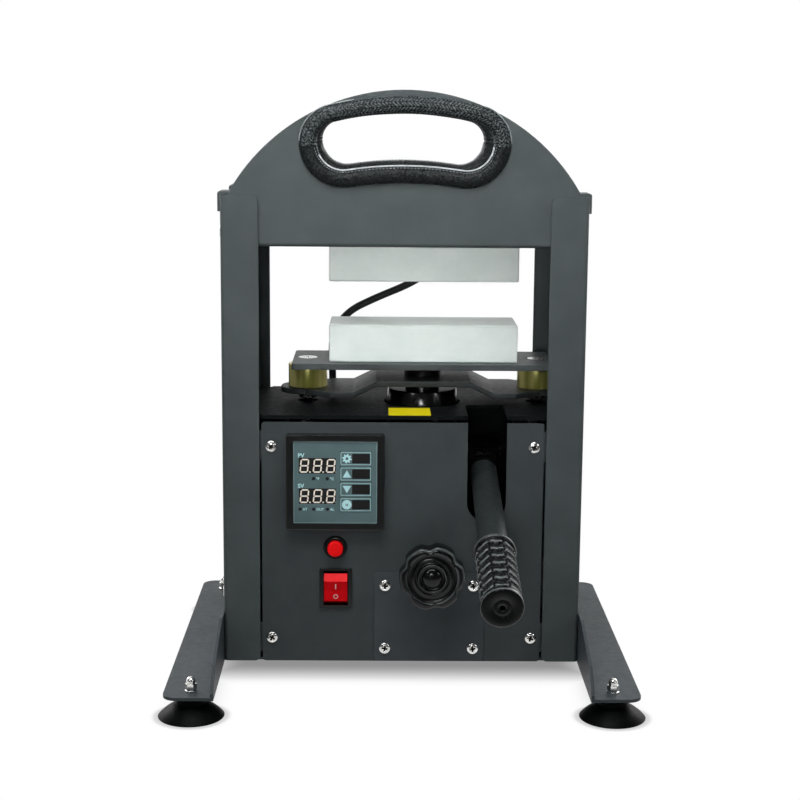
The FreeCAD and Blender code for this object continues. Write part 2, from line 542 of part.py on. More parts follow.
def cut(name, base, tools):
    """Cut the tools from the base, and see that they take something away."""
    thing = doc.addObject("Part::Cut", name)
    thing.Base = base
    thing.Tool = tools[0] if len(tools) == 1 else fuse(name + "_tools", tools)
    thing.Refine = True
    doc.recompute()
    if thing.Shape.Volume >= base.Shape.Volume:
        raise RuntimeError(name + " takes nothing away")
    return thing


def common(name, base, tool):
    thing = doc.addObject("Part::Common", name)
    thing.Base = base
    thing.Tool = tool
    return thing


def straight_edges(shape, letter):
    """List the numbers of the straight edges that run along one axis."""
    found = []
    for number, edge in enumerate(shape.Edges, start=1):
        if isinstance(edge.Curve, Part.Line) and abs(abs(getattr(edge.Curve.Direction, letter)) - 1) < 1e-6:
            found.append(number)
    return found


def rounded(name, base, radius, letter, keep=None):
    """Round the straight edges along one axis, or those whose middle the keep test passes."""
    doc.recompute()
    numbers = straight_edges(base.Shape, letter)
    if keep:
        numbers = [n for n in numbers if keep(base.Shape.Edges[n - 1].CenterOfMass)]
    thing = doc.addObject("Part::Fillet", name)
    thing.Base = base
    thing.Edges = [(number, radius, radius) for number in numbers]
    return thing


def body_of(name):
    return doc.addObject("PartDesign::Body", name)


def plane_of(body, role):
    return [item for item in body.Origin.OriginFeatures if item.Role == role][0]


def sketch_on(body, name, role, offset):
    """Start a sketch on one of the body's own planes, moved along the axis that crosses it."""
    drawing = body.newObject("Sketcher::SketchObject", name)
    drawing.AttachmentSupport = [(plane_of(body, role), "")]
    drawing.MapMode = "FlatFace"
    sign = "" if NORMALS[role] > 0 else "-"
    bind(drawing, "AttachmentOffset.Base.z", "%s(%s)" % (sign, offset))
    return drawing


def fix_point(drawing, shape_number, point, across, up):
    for kind, text in (("DistanceX", across), ("DistanceY", up)):
        number = drawing.addConstraint(Sketcher.Constraint(kind, -1, 1, shape_number, point, 1.0))
        bind(drawing, "Constraints[%d]" % number, text)


def polygon(drawing, corners):
    """Draw a closed outline whose corners are pairs of expressions."""
    first = drawing.GeometryCount
    count = len(corners)
    spots = [FreeCAD.Vector(value(across), value(up), 0) for across, up in corners]
    lines = [Part.LineSegment(spots[index], spots[(index + 1) % count]) for index in range(count)]
    drawing.addGeometry(lines, False)
    drawing.addConstraint([Sketcher.Constraint("Coincident", first + index, 2, first + (index + 1) % count, 1)
                           for index in range(count)])
    for index, (across, up) in enumerate(corners):
        fix_point(drawing, first + index, 1, across, up)


def circle(drawing, across, up, radius):
    middle = FreeCAD.Vector(value(across), value(up), 0)
    number = drawing.addGeometry(Part.Circle(middle, FreeCAD.Vector(0, 0, 1), value(radius)), False)
    fix_point(drawing, number, 3, across, up)
    held = drawing.addConstraint(Sketcher.Constraint("Radius", number, 1.0))
    bind(drawing, "Constraints[%d]" % held, radius)


def rectangle(drawing, x, y):
    polygon(drawing, [(x[0], y[0]), (x[1], y[0]), (x[1], y[1]), (x[0], y[1])])


def pad(body, drawing, name, depth):
    feature = body.newObject("PartDesign::Pad", name)
    feature.Profile = drawing
    bind(feature, "Length", depth)
    drawing.Visibility = False
    doc.recompute()
    return feature


def pocket(body, drawing, name, depth):
    """Cut a sketch into the body along the sketch's own normal, and see that it cuts."""
    before = body.Shape.Volume
    feature = body.newObject("PartDesign::Pocket", name)
    feature.Profile = drawing
    feature.Reversed = True
    bind(feature, "Length", depth)
    doc.recompute()
    if body.Shape.Volume >= before - 1e-6:
        raise RuntimeError(name + " cuts nothing")
    return feature


def soften(body, name, radius, letter, keep):
    """Round the body's straight edges along one axis whose middles pass the test."""
    base = body.Tip
    names = ["Edge%d" % number for number in straight_edges(base.Shape, letter)
             if keep(base.Shape.Edges[number - 1].CenterOfMass)]
    feature = body.newObject("PartDesign::Fillet", name)
    feature.Base = (base, names)
    bind(feature, "Radius", radius)
    doc.recompute()
    if "Invalid" in feature.State:
        raise RuntimeError(name + " fails")
    return feature


def keep_part(thing, label):
    """Name a finished sub-part and move it so that the origin lies under the press's middle."""
    thing.Label = label
    if thing.Name in own_place:
        bind(thing, "Placement.Base.y", "(%s) + %s" % (own_place[thing.Name]["y"], SHIFT))
    else:
        bind(thing, "Placement.Base.y", SHIFT)
    parts.append(thing)
    return thing


def keep_lever_part(thing, label):
    """Name a sub-part drawn along the lever, with the fulcrum at zero, and set it on its slope."""
    thing.Label = label
    thing.Placement = FreeCAD.Placement(FreeCAD.Vector(), FreeCAD.Rotation(FreeCAD.Vector(1, 0, 0), 1))
    bind(thing, "Placement.Rotation.Angle", "lever_tilt")
    bind(thing, "Placement.Base.x", PUMP_RIGHT)
    bind(thing, "Placement.Base.y", "%s + %s" % (FULCRUM_BACK, SHIFT))
    bind(thing, "Placement.Base.z", FULCRUM_HIGH)
    parts.append(thing)
    return thing


def keep_shape(shape, label):
    """Keep a shape worked out from the sheet's sizes as a sub-part."""
    thing = doc.addObject("Part::Feature", label)
    spot = shape.Placement
    thing.Shape = shape
    thing.Placement = spot
    own_place[thing.Name] = {"y": repr(spot.Base.y)}
    return keep_part(thing, label)


def sides(side, low, high):
    """Give the limits of a span on the left or right of the middle, low before high."""
    return (low, high) if side > 0 else ("-(%s)" % high, "-(%s)" % low)


def around(middle, half):
    """Give the low and high limits of a span about a middle."""
    return ("%s - %s" % (middle, half), "%s + %s" % (middle, half))


def on_side(side, text):
    return text if side > 0 else "-(%s)" % text


SIDES = ((-1, "left"), (1, "right"))


def posts():
    """Two channels, open towards each other, with their side holes."""
    half = size("post_span") / 2
    depth = size("post_depth")
    for side, word in SIDES:
        body = body_of(word + "_post_body")
        drawing = sketch_on(body, word + "_post_section", "XY_Plane", "post_foot")
        outer = on_side(side, "post_span/2")
        inner = on_side(side, WEB)
        edge = on_side(side, "post_span/2 - post_flange")
        back = "post_depth - post_sheet"
        polygon(drawing, [(outer, "0"), (outer, "post_depth"), (edge, "post_depth"), (edge, back),
                          (inner, back), (inner, "post_sheet"), (edge, "post_sheet"), (edge, "0")])
        pad(body, drawing, word + "_post_length", POST_TOP + " - post_foot")
        soften(body, word + "_post_bends", "bend_round", "z",
               lambda at: abs(abs(at.x) - half) < 0.01)
        soften(body, word + "_post_corners", "post_round", "y",
               lambda at: abs(abs(at.x) - half + size("post_flange")) < 0.01 and min(at.y, depth - at.y) < 3)
        holes = sketch_on(body, word + "_post_holes", "YZ_Plane", on_side(side, "post_span/2 + 1") if side < 0
                          else WEB + " - 1")
        for back in ("side_bolt_inset", "post_depth - side_bolt_inset"):
            circle(holes, back, HEAD_FOOT + " + head_bar/2", "side_bolt + stud_clear")
            circle(holes, back, "beam_foot + beam_thick/2", "side_bolt + stud_clear")
        for back in ("leg_bolt_inset", "post_depth - leg_bolt_inset"):
            circle(holes, back, LEG_BOLT_HIGH, "leg_bolt + stud_clear")
        pocket(body, holes, word + "_post_drilling", "post_sheet + 2")
        keep_part(body, word + "_post")


def legs():
    """An angle under each post: a flat plate with a flange that rises to the post's web."""
    for side, word in SIDES:
        inner = on_side(side, "post_span/2")
        outer = on_side(side, LEG_EDGE)
        body = body_of(word + "_leg_body")
        drawing = sketch_on(body, word + "_leg_outline", "XY_Plane", "leg_top - leg_plate")
        polygon(drawing, [(inner, "-leg_ahead"), (outer, "-leg_ahead"), (outer, LEG_BACK), (inner, LEG_BACK)])
        pad(body, drawing, word + "_leg_plate", "leg_plate")
        soften(body, word + "_leg_corners", "leg_round", "z",
               lambda at: abs(abs(at.x) - value(LEG_EDGE)) < 0.01)
        near = inner if side > 0 else on_side(side, "post_span/2 + leg_plate")
        wall = sketch_on(body, word + "_leg_flange_outline", "YZ_Plane", near)
        foot = "leg_top - leg_plate"
        polygon(wall, [("-leg_ahead", foot), (LEG_BACK, foot), (LEG_BACK, "leg_top + leg_flange_end"),
                       (LEG_BACK + " - leg_shoulder", "leg_top + leg_flange_low"),
                       ("post_depth + leg_slope", "leg_top + leg_flange"),
                       ("-leg_slope", "leg_top + leg_flange"),
                       ("leg_shoulder - leg_ahead", "leg_top + leg_flange_low"),
                       ("-leg_ahead", "leg_top + leg_flange_end")])
        pad(body, wall, word + "_leg_flange", "leg_plate")
        holes = sketch_on(body, word + "_leg_stud_holes", "XY_Plane", "leg_top - leg_plate - 1")
        for at, where in foot_spots(side):
            circle(holes, at[0], at[1], "stud_radius + stud_clear")
        pocket(body, holes, word + "_leg_stud_drilling", "leg_plate + 2")
        bolts = sketch_on(body, word + "_leg_bolt_holes", "YZ_Plane",
                          "post_span/2 - 1" if side > 0 else "-(post_span/2 + leg_plate + 1)")
        for back in ("leg_bolt_inset", "post_depth - leg_bolt_inset"):
            circle(bolts, back, LEG_BOLT_HIGH, "leg_bolt + stud_clear")
        pocket(body, bolts, word + "_leg_bolt_drilling", "leg_plate + 2")
        keep_part(body, word + "_leg")


def foot_spots(side):
    """Give the places of the two feet under one leg."""
    across = on_side(side, "(%s - foot_inset)" % LEG_EDGE)
    return [((across, "-(leg_ahead - foot_front_inset)"), "front"),
            ((across, "(%s - foot_rear_inset)" % LEG_BACK), "rear")]


def feet():
    """Four suction cups with studs, and the washers and cap nuts above the legs."""
    cups = []
    nuts = []
    for side, word in SIDES:
        for at, where in foot_spots(side):
            name = "%s_%s_" % (where, word)
            cups.append(suction_cup(name, at))
            nuts.append(cap_nut(name, at))
    keep_part(group("cup_set", cups), "suction_cups")
    keep_part(group("cap_nut_set", nuts), "foot_cap_nuts")


def suction_cup(name, at):
    """A dished dome with a boss that widens up to the leg, and the stud through the leg."""
    foot = "(leg_top - leg_plate)"
    top = "leg_top + washer_thick + nut_height + stud_reach"
    cup = fuse(name + "cup_form", [
        rod(name + "rim", "z", at, ("0", "cup_rim"), "cup_radius"),
        dome(name + "dome", "z", at, "cup_rim", "cup_radius", "cup_dome"),
        cone(name + "boss", "z", at, (foot + " - cup_boss", foot), "cup_neck", "cup_seat"),
        rod(name + "stud", "z", at, (foot, top), "stud_radius")])
    dish = cone(name + "dish", "z", at, ("-0.01", "cup_dish"), "cup_radius - cup_lip", "cup_neck")
    return cut(name + "cup_solid", cup, [dish])


def cap_nut(name, at):
    """A washer and a cap nut with a domed crown."""
    seat = "leg_top + washer_thick"
    shoulder = seat + " + nut_height"
    crown = shoulder + " + crown_straight"
    cap = fuse(name + "cap_form", [
        rod(name + "washer", "z", at, ("leg_top", seat), "washer_radius"),
        hexagon(name + "hexagon", "z", at, (seat, shoulder), "nut_across/2"),
        rod(name + "shoulder", "z", at, (shoulder, crown), "crown_radius"),
        dome(name + "crown", "z", at, crown, "crown_radius", "crown_dome")])
    bore = rod(name + "bore", "z", at, ("leg_top - 1", crown), "stud_radius + thread_fit")
    return cut(name + "cap_solid", cap, [bore])


def frame_bolts():
    """Bolts through the webs into the beams, the legs' bolts and nuts, and the upper platen's bolts."""
    bolts = platen_bolts()
    for side, word in SIDES:
        rows = [(HEAD_FOOT + " + head_bar/2", "head"), ("beam_foot + beam_thick/2", "base")]
        for level, row in rows:
            for back, where in (("side_bolt_inset", "front"), ("post_depth - side_bolt_inset", "back")):
                name = "%s_%s_%s_bolt" % (word, row, where)
                head = hexagon(name + "_head", "x", (back, level),
                               sides(side, "post_span/2", "post_span/2 + side_head_thick"),
                               "side_head*cos(30)")
                shank = rod(name + "_shank", "x", (back, level),
                            sides(side, "post_span/2 - side_bolt_length", "post_span/2"), "side_bolt")
                bolts.append(fuse(name, [head, shank]))
        outer = "post_span/2 + leg_plate"
        inner = WEB + " - leg_nut_height"
        for back, where in (("leg_bolt_inset", "front"), ("post_depth - leg_bolt_inset", "back")):
            name = "%s_leg_%s_bolt" % (word, where)
            at = (back, LEG_BOLT_HIGH)
            head_span = sides(side, outer, outer + " + leg_bolt_thick")
            shank_span = sides(side, inner + " - leg_bolt_tail", outer)
            bolts.append(fuse(name, [rod(name + "_head", "x", at, head_span, "leg_bolt_head"),
                                     rod(name + "_shank", "x", at, shank_span, "leg_bolt")]))
            nut = hexagon(name + "_nut_form", "x", at, sides(side, inner, WEB), "leg_bolt_head")
            bore_span = sides(side, inner + " - 0.5", WEB + " + 0.5")
            bore = rod(name + "_nut_bore", "x", at, bore_span, "leg_bolt + thread_fit")
            bolts.append(cut(name + "_nut", nut, [bore]))
    keep_part(group("frame_bolt_set", bolts), "frame_bolts")


def beams():
    """The thick plates between the posts: one under the jack and one over the upper platen."""
    for label, foot, top in (("base_beam", "beam_foot", BEAM_TOP), ("head_beam", HEAD_FOOT, HEAD_TOP)):
        body = body_of(label + "_body")
        drawing = sketch_on(body, label + "_outline", "XY_Plane", foot)
        if label == "base_beam":
            rectangle(drawing, ("-%s" % WEB, WEB), ("beam_ahead", "post_depth - beam_ahead"))
        else:
            near = "post_sheet + head_gap + post_sheet"
            rectangle(drawing, ("-%s" % WEB, WEB), (near, "post_depth - (%s)" % near))
        pad(body, drawing, label + "_plate", "%s - %s" % (top, foot))
        middle = "(%s + %s)/2" % (foot, top)
        for side, word in SIDES:
            start = WEB + " - side_bolt_length" if side > 0 else "-(%s) - 1" % WEB
            holes = sketch_on(body, "%s_%s_holes" % (label, word), "YZ_Plane", start)
            for back in ("side_bolt_inset", "post_depth - side_bolt_inset"):
                circle(holes, back, middle, "side_bolt + stud_clear")
            pocket(body, holes, "%s_%s_drilling" % (label, word), "side_bolt_length + 1")
        if label == "head_beam":
            holes = sketch_on(body, label + "_platen_holes", "XY_Plane", foot + " - 1")
            platen_holes(holes, "platen_bolt + stud_clear")
            pocket(body, holes, label + "_platen_drilling", "head_bar + 2")
        keep_part(body, label)
    keep_part(block("bottom_cover_sheet", ("-(%s)" % WEB, WEB), ("post_sheet", "post_depth - post_sheet"),
                    ("post_foot", "post_foot + cover_sheet")), "bottom_cover")


def platen_spots():
    across = (PLATEN_LEFT + " + platen_bolt_inset", PLATEN_RIGHT + " - platen_bolt_inset")
    back = ("%s + platen_bolt_inset" % PLATEN_FRONT, "%s - platen_bolt_inset" % PLATEN_BACK)
    return [(x, y) for x in across for y in back]


def platen_holes(drawing, radius):
    for x, y in platen_spots():
        circle(drawing, x, y, radius)


def head_plates():
    """Two arch plates with a folded lower edge and a carrying slot, one at each face of the head."""
    half = ARCH_HALF
    foot = "(%s - post_sheet)" % HEAD_FOOT
    near = "(post_sheet + head_gap)"
    far = "(post_depth - %s - post_sheet)" % near
    hole = oval_face(-size("grip_bite")).extrude(FreeCAD.Vector(0, 3 * size("post_sheet"), 0))
    for label, front in (("head_front_plate", near), ("head_rear_plate", far)):
        outward = label == "head_front_plate"
        sheet_block = block(label + "_sheet", ("-" + half, half), (front, front + " + post_sheet"),
                            (foot, ARCH_TOP + " + 1"))
        crown = rod(label + "_crown", "y", ("0", "%s - %s" % (ARCH_TOP, ARCH_RADIUS)),
                    (front + " - 1", front + " + post_sheet + 1"), ARCH_RADIUS)
        arch = common(label + "_arch", sheet_block, crown)
        fold_span = (front, front + " + arch_fold") if outward else (
            front + " + post_sheet - arch_fold", front + " + post_sheet")
        fold = block(label + "_fold", ("-" + half, half), fold_span, (foot, HEAD_FOOT))
        joined = fuse(label + "_joined", [arch, fold])
        slot = doc.addObject("Part::Feature", label + "_slot")
        slot.Shape = hole
        bind(slot, "Placement.Base.y", front + " - post_sheet")
        opened = cut(label + "_opened", joined, [slot])
        face_back = size("post_sheet") + size("head_gap") if outward else (
            size("post_depth") - size("post_sheet") - size("head_gap"))
        low = opened.Shape.BoundBox.ZMin
        bent = rounded(label + "_bent", opened, size("bend_round"), "x",
                       lambda at: abs(at.z - low) < 0.01 and abs(at.y - face_back) < 0.01)
        keep_part(bent, label)


def oval_arcs(offset):
    """Work out the arcs of the handle's outline, moved outward from its middle line by the offset."""
    half = size("grip_half")
    rise = size("grip_rise")
    fall = size("grip_fall")
    top = value(ARCH_TOP) - size("grip_below")
    side = top - rise
    base = side - fall
    upper = math.radians(size("grip_upper_turn"))
    lower = math.radians(size("grip_lower_turn"))
    # The upper arc and the shoulder meet with one tangent, so their radii follow from half and rise
    cross = math.sin(upper) * math.cos(upper) - (1 - math.sin(upper)) * (1 - math.cos(upper))
    top_radius = (half * math.cos(upper) - rise * (1 - math.sin(upper))) / cross
    shoulder = (rise - top_radius * (1 - math.cos(upper))) / math.cos(upper)
    ratio = (1 - math.cos(lower)) / math.sin(lower)
    corner = (fall + half * ratio) / (math.cos(lower) + ratio * (1 + math.sin(lower)))
    base_radius = (half - corner * (1 + math.sin(lower))) / math.sin(lower)
    quarter = math.pi / 2
    return [
        (0.0, top - top_radius, top_radius + offset, quarter - upper, quarter + upper),
        (-(half - shoulder), side, shoulder + offset, quarter + upper, 2 * quarter),
        (-(half - corner), side, corner + offset, 2 * quarter, 3 * quarter + lower),
        (0.0, base - base_radius, base_radius - offset, quarter + lower, quarter - lower),
        (half - corner, side, corner + offset, 3 * quarter - lower, 4 * quarter),
        (half - shoulder, side, shoulder + offset, 0.0, quarter - upper),
    ]


def oval_point(arc, share):
    x, z, radius, start, end = arc
    turn = start + (end - start) * share
    return FreeCAD.Vector(x + radius * math.cos(turn), 0, z + radius * math.sin(turn))


def oval_face(offset):
    """Make the flat face inside the handle's outline."""
    edges = []
    for arc in oval_arcs(offset):
        edges.append(Part.Arc(oval_point(arc, 0), oval_point(arc, 0.5), oval_point(arc, 1)).toShape())
    return Part.Face(Part.Wire(edges))


def handle_wraps():
    """A padded ring round each arch plate's slot, grooved over the plate's rim."""
    across = FreeCAD.Vector(0, 1, 0)
    ring = None
    for x, z, radius, start, end in oval_arcs(0):
        low, high = sorted((math.degrees(start), math.degrees(end)))
        piece = Part.makeTorus(radius, size("grip_radius"), FreeCAD.Vector(), FreeCAD.Vector(0, 0, 1),
                               0, 360, high - low)
        piece.rotate(FreeCAD.Vector(), FreeCAD.Vector(0, 0, 1), low)
        piece.rotate(FreeCAD.Vector(), FreeCAD.Vector(1, 0, 0), 90)
        piece.translate(FreeCAD.Vector(x, 0, z))
        ring = piece if ring is None else ring.fuse(piece)
    rim = oval_face(size("grip_radius") + 1).cut(oval_face(-size("grip_bite")))
    sheet_thick = size("post_sheet")
    groove = rim.extrude(across * sheet_thick)
    groove.translate(across * (-sheet_thick / 2))
    ring = ring.cut(groove).removeSplitter()
    front = size("post_sheet") + size("head_gap") + sheet_thick / 2
    for label, back in (("front_handle_wrap", front), ("rear_handle_wrap", size("post_depth") - front)):
        moved = ring.copy()
        moved.translate(across * back)
        keep_shape(moved, label)


def tie_straps():
    """Flat straps over the posts' upper ends, folded down outside the webs."""
    start = "(post_sheet + head_gap + post_sheet + tie_gap)"
    edge = "(post_span/2 + tie_thick)"
    top = "(%s + tie_thick)" % POST_TOP
    low = "(%s - tie_drop)" % top
    straps = []
    for label, front in (("front_tie", start), ("rear_tie", "(post_depth - %s - tie_depth)" % start)):
        body = body_of(label + "_body")
        drawing = sketch_on(body, label + "_profile", "XZ_Plane", front + " + tie_depth")
        polygon(drawing, [("-" + edge, low), ("-post_span/2", low), ("-post_span/2", POST_TOP),
                          ("post_span/2", POST_TOP), ("post_span/2", low), (edge, low), (edge, top),
                          ("-" + edge, top)])
        pad(body, drawing, label + "_depth", "tie_depth")
        soften(body, label + "_bends", "tie_round", "y", lambda at: at.z > value(top) - 0.01)
        straps.append(body)
    keep_part(group("tie_strap_pair", straps), "tie_straps")


def upper_platen():
    """The fixed platen, its pad, bolts and heaters, and the box that its lead leaves by."""
    platen("upper", UPPER_FOOT, True)
    lead_box()
    body = body_of("pad_body")
    drawing = sketch_on(body, "pad_outline", "XY_Plane", UPPER_TOP)
    rectangle(drawing, (PLATEN_LEFT, PLATEN_RIGHT), (PLATEN_FRONT, PLATEN_BACK))
    platen_holes(drawing, "platen_bolt + stud_clear")
    pad(body, drawing, "pad_sheet", "pad_thick")
    keep_part(body, "insulating_pad")


def platen_bolts():
    """Four socket-head bolts from the head's beam down into the upper platen."""
    bolts = []
    for index, at in enumerate(platen_spots()):
        name = "platen_bolt_%d" % index
        top = HEAD_TOP + " + platen_bolt_cap"
        head = rod(name + "_head", "z", at, (HEAD_TOP, top), "platen_bolt_head")
        key = hexagon(name + "_key", "z", at, (top + " - platen_bolt_socket", top + " + 1"),
                      "platen_bolt_key")
        shank = rod(name + "_shank", "z", at, (UPPER_TOP + " - platen_bolt_depth + 1", HEAD_TOP + " + 1"),
                    "platen_bolt")
        bolts.append(cut(name, fuse(name + "_form", [head, shank]), [key]))
    return bolts


def platen(word, foot, bolted):
    """A platen drilled for its heaters, and the heaters in their bores."""
    form = block(word + "_platen_block", (PLATEN_LEFT, PLATEN_RIGHT), (PLATEN_FRONT, PLATEN_BACK),
                 (foot, foot + " + platen_height"))
    doc.recompute()
    edged = doc.addObject("Part::Chamfer", word + "_platen_edged")
    edged.Base = form
    edge = size("platen_edge")
    edged.Edges = [(number, edge, edge) for number in range(1, len(form.Shape.Edges) + 1)]
    level = foot + " + platen_height/2"
    bores = []
    heaters = []
    for index in range(int(size("heater_count"))):
        at = ("press_right + heater_pitch*(%d - (heater_count - 1)/2)" % index, level)
        bores.append(rod("%s_bore_%d" % (word, index), "y", at,
                         (PLATEN_BACK + " - heater_length - 1", PLATEN_BACK + " + 1"),
                         "heater_radius + heater_clear"))
        heaters.append(rod("%s_heater_%d" % (word, index), "y", at,
                           (PLATEN_BACK + " - heater_length", PLATEN_BACK + " + heater_tail"),
                           "heater_radius"))
    if bolted:
        for index, at in enumerate(platen_spots()):
            bores.append(rod("platen_tapping_%d" % index, "z", at,
                             (UPPER_TOP + " - platen_bolt_depth", UPPER_TOP + " + 1"),
                             "platen_bolt + stud_clear"))
    keep_part(cut(word + "_platen_drilled", edged, bores), word + "_platen")
    keep_part(group(word + "_heater_set", heaters), word + "_heaters")


def lead_box():
    """The box behind the upper platen that its heaters' lead leaves by."""
    foot = "(%s + (platen_height - lead_box_height)/2)" % UPPER_FOOT
    x = ("press_right - lead_box_width/2", "press_right + lead_box_width/2")
    y = (PLATEN_BACK, PLATEN_BACK + " + lead_box_depth")
    z = (foot, foot + " + lead_box_height")
    shell = block("lead_box_form", x, y, z)
    room = block("lead_box_room", (x[0] + " + lead_box_wall", x[1] + " - lead_box_wall"),
                 (y[0] + " - 1", y[1] + " - lead_box_wall"),
                 (z[0] + " + lead_box_wall", z[1] + " - lead_box_wall"))
    hole = rod("lead_box_hole", "z", (str(LEAD_POINTS[0][0]), LEAD_BACK),
               (foot + " - 1", foot + " + lead_box_wall + 1"), "lead_radius + lead_hole_clear")
    keep_part(cut("lead_box_shell", shell, [room, hole]), "upper_lead_box")


def upper_lead():
    """The lead from the upper platen's box down to the cabinet, and the glands at its two ends."""
    radius = size("lead_radius")
    back = value(LEAD_BACK)
    spots = [FreeCAD.Vector(x, back, z) for x, z in LEAD_POINTS]
    edges = []
    length = 0.0
    here = spots[0]
    for before, corner, after in zip(spots, spots[1:], spots[2:]):
        into = (corner - before).normalize()
        out = (after - corner).normalize()
        half_turn = into.getAngle(out) / 2
        run = min((corner - before).Length, (after - corner).Length)
        bend = 0.45 * run / math.tan(half_turn)
        start = corner - into * (0.45 * run)
        end = corner + out * (0.45 * run)
        inward = (out - into).normalize()
        middle = corner + inward * (bend / math.cos(half_turn) - bend)
        edges.append(Part.LineSegment(here, start).toShape())
        edges.append(Part.Arc(start, middle, end).toShape())
        length += (start - here).Length + 2 * half_turn * bend
        print("lead bend radius %.1f" % bend)
        here = end
    edges.append(Part.LineSegment(here, spots[-1]).toShape())
    length += (spots[-1] - here).Length
    path = Part.Wire(edges)
    ring = Part.Wire(Part.Circle(spots[0], spots[1] - spots[0], radius).toShape())
    tube = path.makePipeShell([ring], True, False)
    wanted = math.pi * radius ** 2 * length
    print("lead length %.1f, volume %.1f, section times length %.1f" % (length, tube.Volume, wanted))
    keep_shape(tube, "upper_lead")
    box_foot = "(%s + (platen_height - lead_box_height)/2)" % UPPER_FOOT
    glands = []
    for label, x, low, high in (
            ("upper_gland", LEAD_POINTS[0][0], box_foot + " - upper_gland_height", box_foot),
            ("cabinet_gland", LEAD_POINTS[-1][0], "cabinet_top", "cabinet_top + gland_height")):
        at = (str(x), LEAD_BACK)
        collar = rod(label + "_collar", "z", at, (low, high), "gland_radius")
        bore = rod(label + "_bore", "z", at, (low + " - 1", high + " + 1"), "lead_radius + gland_clear")
        glands.append(cut(label, collar, [bore]))
    keep_part(group("gland_pair", glands), "lead_glands")


def carriage():
    """The lower platen and the plate, spacers, strap, bolts, saddle and ram that lift it."""
    platen("lower", LOWER_FOOT, False)
    bolts_at = [("(press_right - %s)" % BOLT_OFFSET, PRESS_BACK),
                ("(press_right + %s)" % BOLT_OFFSET, PRESS_BACK)]
    body = body_of("carrier_body")
    drawing = sketch_on(body, "carrier_outline", "XY_Plane", CARRIER_FOOT)
    rectangle(drawing, around("press_right", CARRIER_HALF),
              around(PRESS_BACK, "carrier_depth/2"))
    for x, y in bolts_at:
        circle(drawing, x, y, "bolt_radius + stud_clear")
    pad(body, drawing, "carrier_sheet", "carrier_thick")
    soften(body, "carrier_corners", "carrier_round", "z", lambda at: True)
    sink_foot = "(%s - bolt_sink)" % LOWER_FOOT
    sinks = [cone("carrier_sink_%d" % n, "z", at, (sink_foot, LOWER_FOOT + " + 0.05"),
                  "bolt_radius + stud_clear", "bolt_head + sink_clear") for n, at in enumerate(bolts_at)]
    keep_part(cut("carrier_sunk", body, sinks), "carrier_plate")
    spacers = []
    bolts = []
    strap_top = "(%s + strap_thick)" % STRAP_FOOT
    nut_foot = "(%s - bolt_nut_height)" % STRAP_FOOT
    for n, at in enumerate(bolts_at):
        ring = rod("spacer_form_%d" % n, "z", at, (strap_top, CARRIER_FOOT), "spacer_radius")
        bore = rod("spacer_bore_%d" % n, "z", at, (strap_top + " - 1", CARRIER_FOOT + " + 1"),
                   "bolt_radius + stud_clear")
        spacers.append(cut("spacer_%d" % n, ring, [bore]))
        slot_span = (LOWER_FOOT + " - driver_depth", LOWER_FOOT + " + 1")
        slots = [block("driver_slot_wide_%d" % n, around(at[0], "driver_reach"),
                       around(at[1], "driver_half"), slot_span),
                 block("driver_slot_deep_%d" % n, around(at[0], "driver_half"),
                       around(at[1], "driver_reach"), slot_span)]
        form = fuse("carriage_bolt_form_%d" % n, [
            cone("carriage_bolt_head_%d" % n, "z", at, (sink_foot, LOWER_FOOT), "bolt_radius", "bolt_head"),
            rod("carriage_bolt_shank_%d" % n, "z", at, (nut_foot + " - bolt_tail", sink_foot),
                "bolt_radius")])
        bolts.append(cut("carriage_bolt_%d" % n, form, slots))
        nut = hexagon("carriage_nut_form_%d" % n, "z", at, (nut_foot, STRAP_FOOT), "bolt_nut")
        hole = rod("carriage_nut_bore_%d" % n, "z", at, (nut_foot + " - 1", STRAP_FOOT + " + 1"),
                   "bolt_radius + thread_fit")
        bolts.append(cut("carriage_nut_%d" % n, nut, [hole]))
    keep_part(group("spacer_pair", spacers), "lift_spacers")
    keep_part(group("carriage_bolt_set", bolts), "carriage_bolts")
    lift_strap(bolts_at)
    axis = ("press_right", PRESS_BACK)
    saddle_foot = "(%s + strap_rise)" % strap_top
    keep_part(rod("saddle_disc", "z", axis, (saddle_foot, CARRIER_FOOT), "saddle_radius"), "ram_saddle")
    keep_part(rod("ram_rod", "z", axis, (RAM_FOOT, "%s + strap_rise" % STRAP_FOOT), "ram_radius"), "ram")


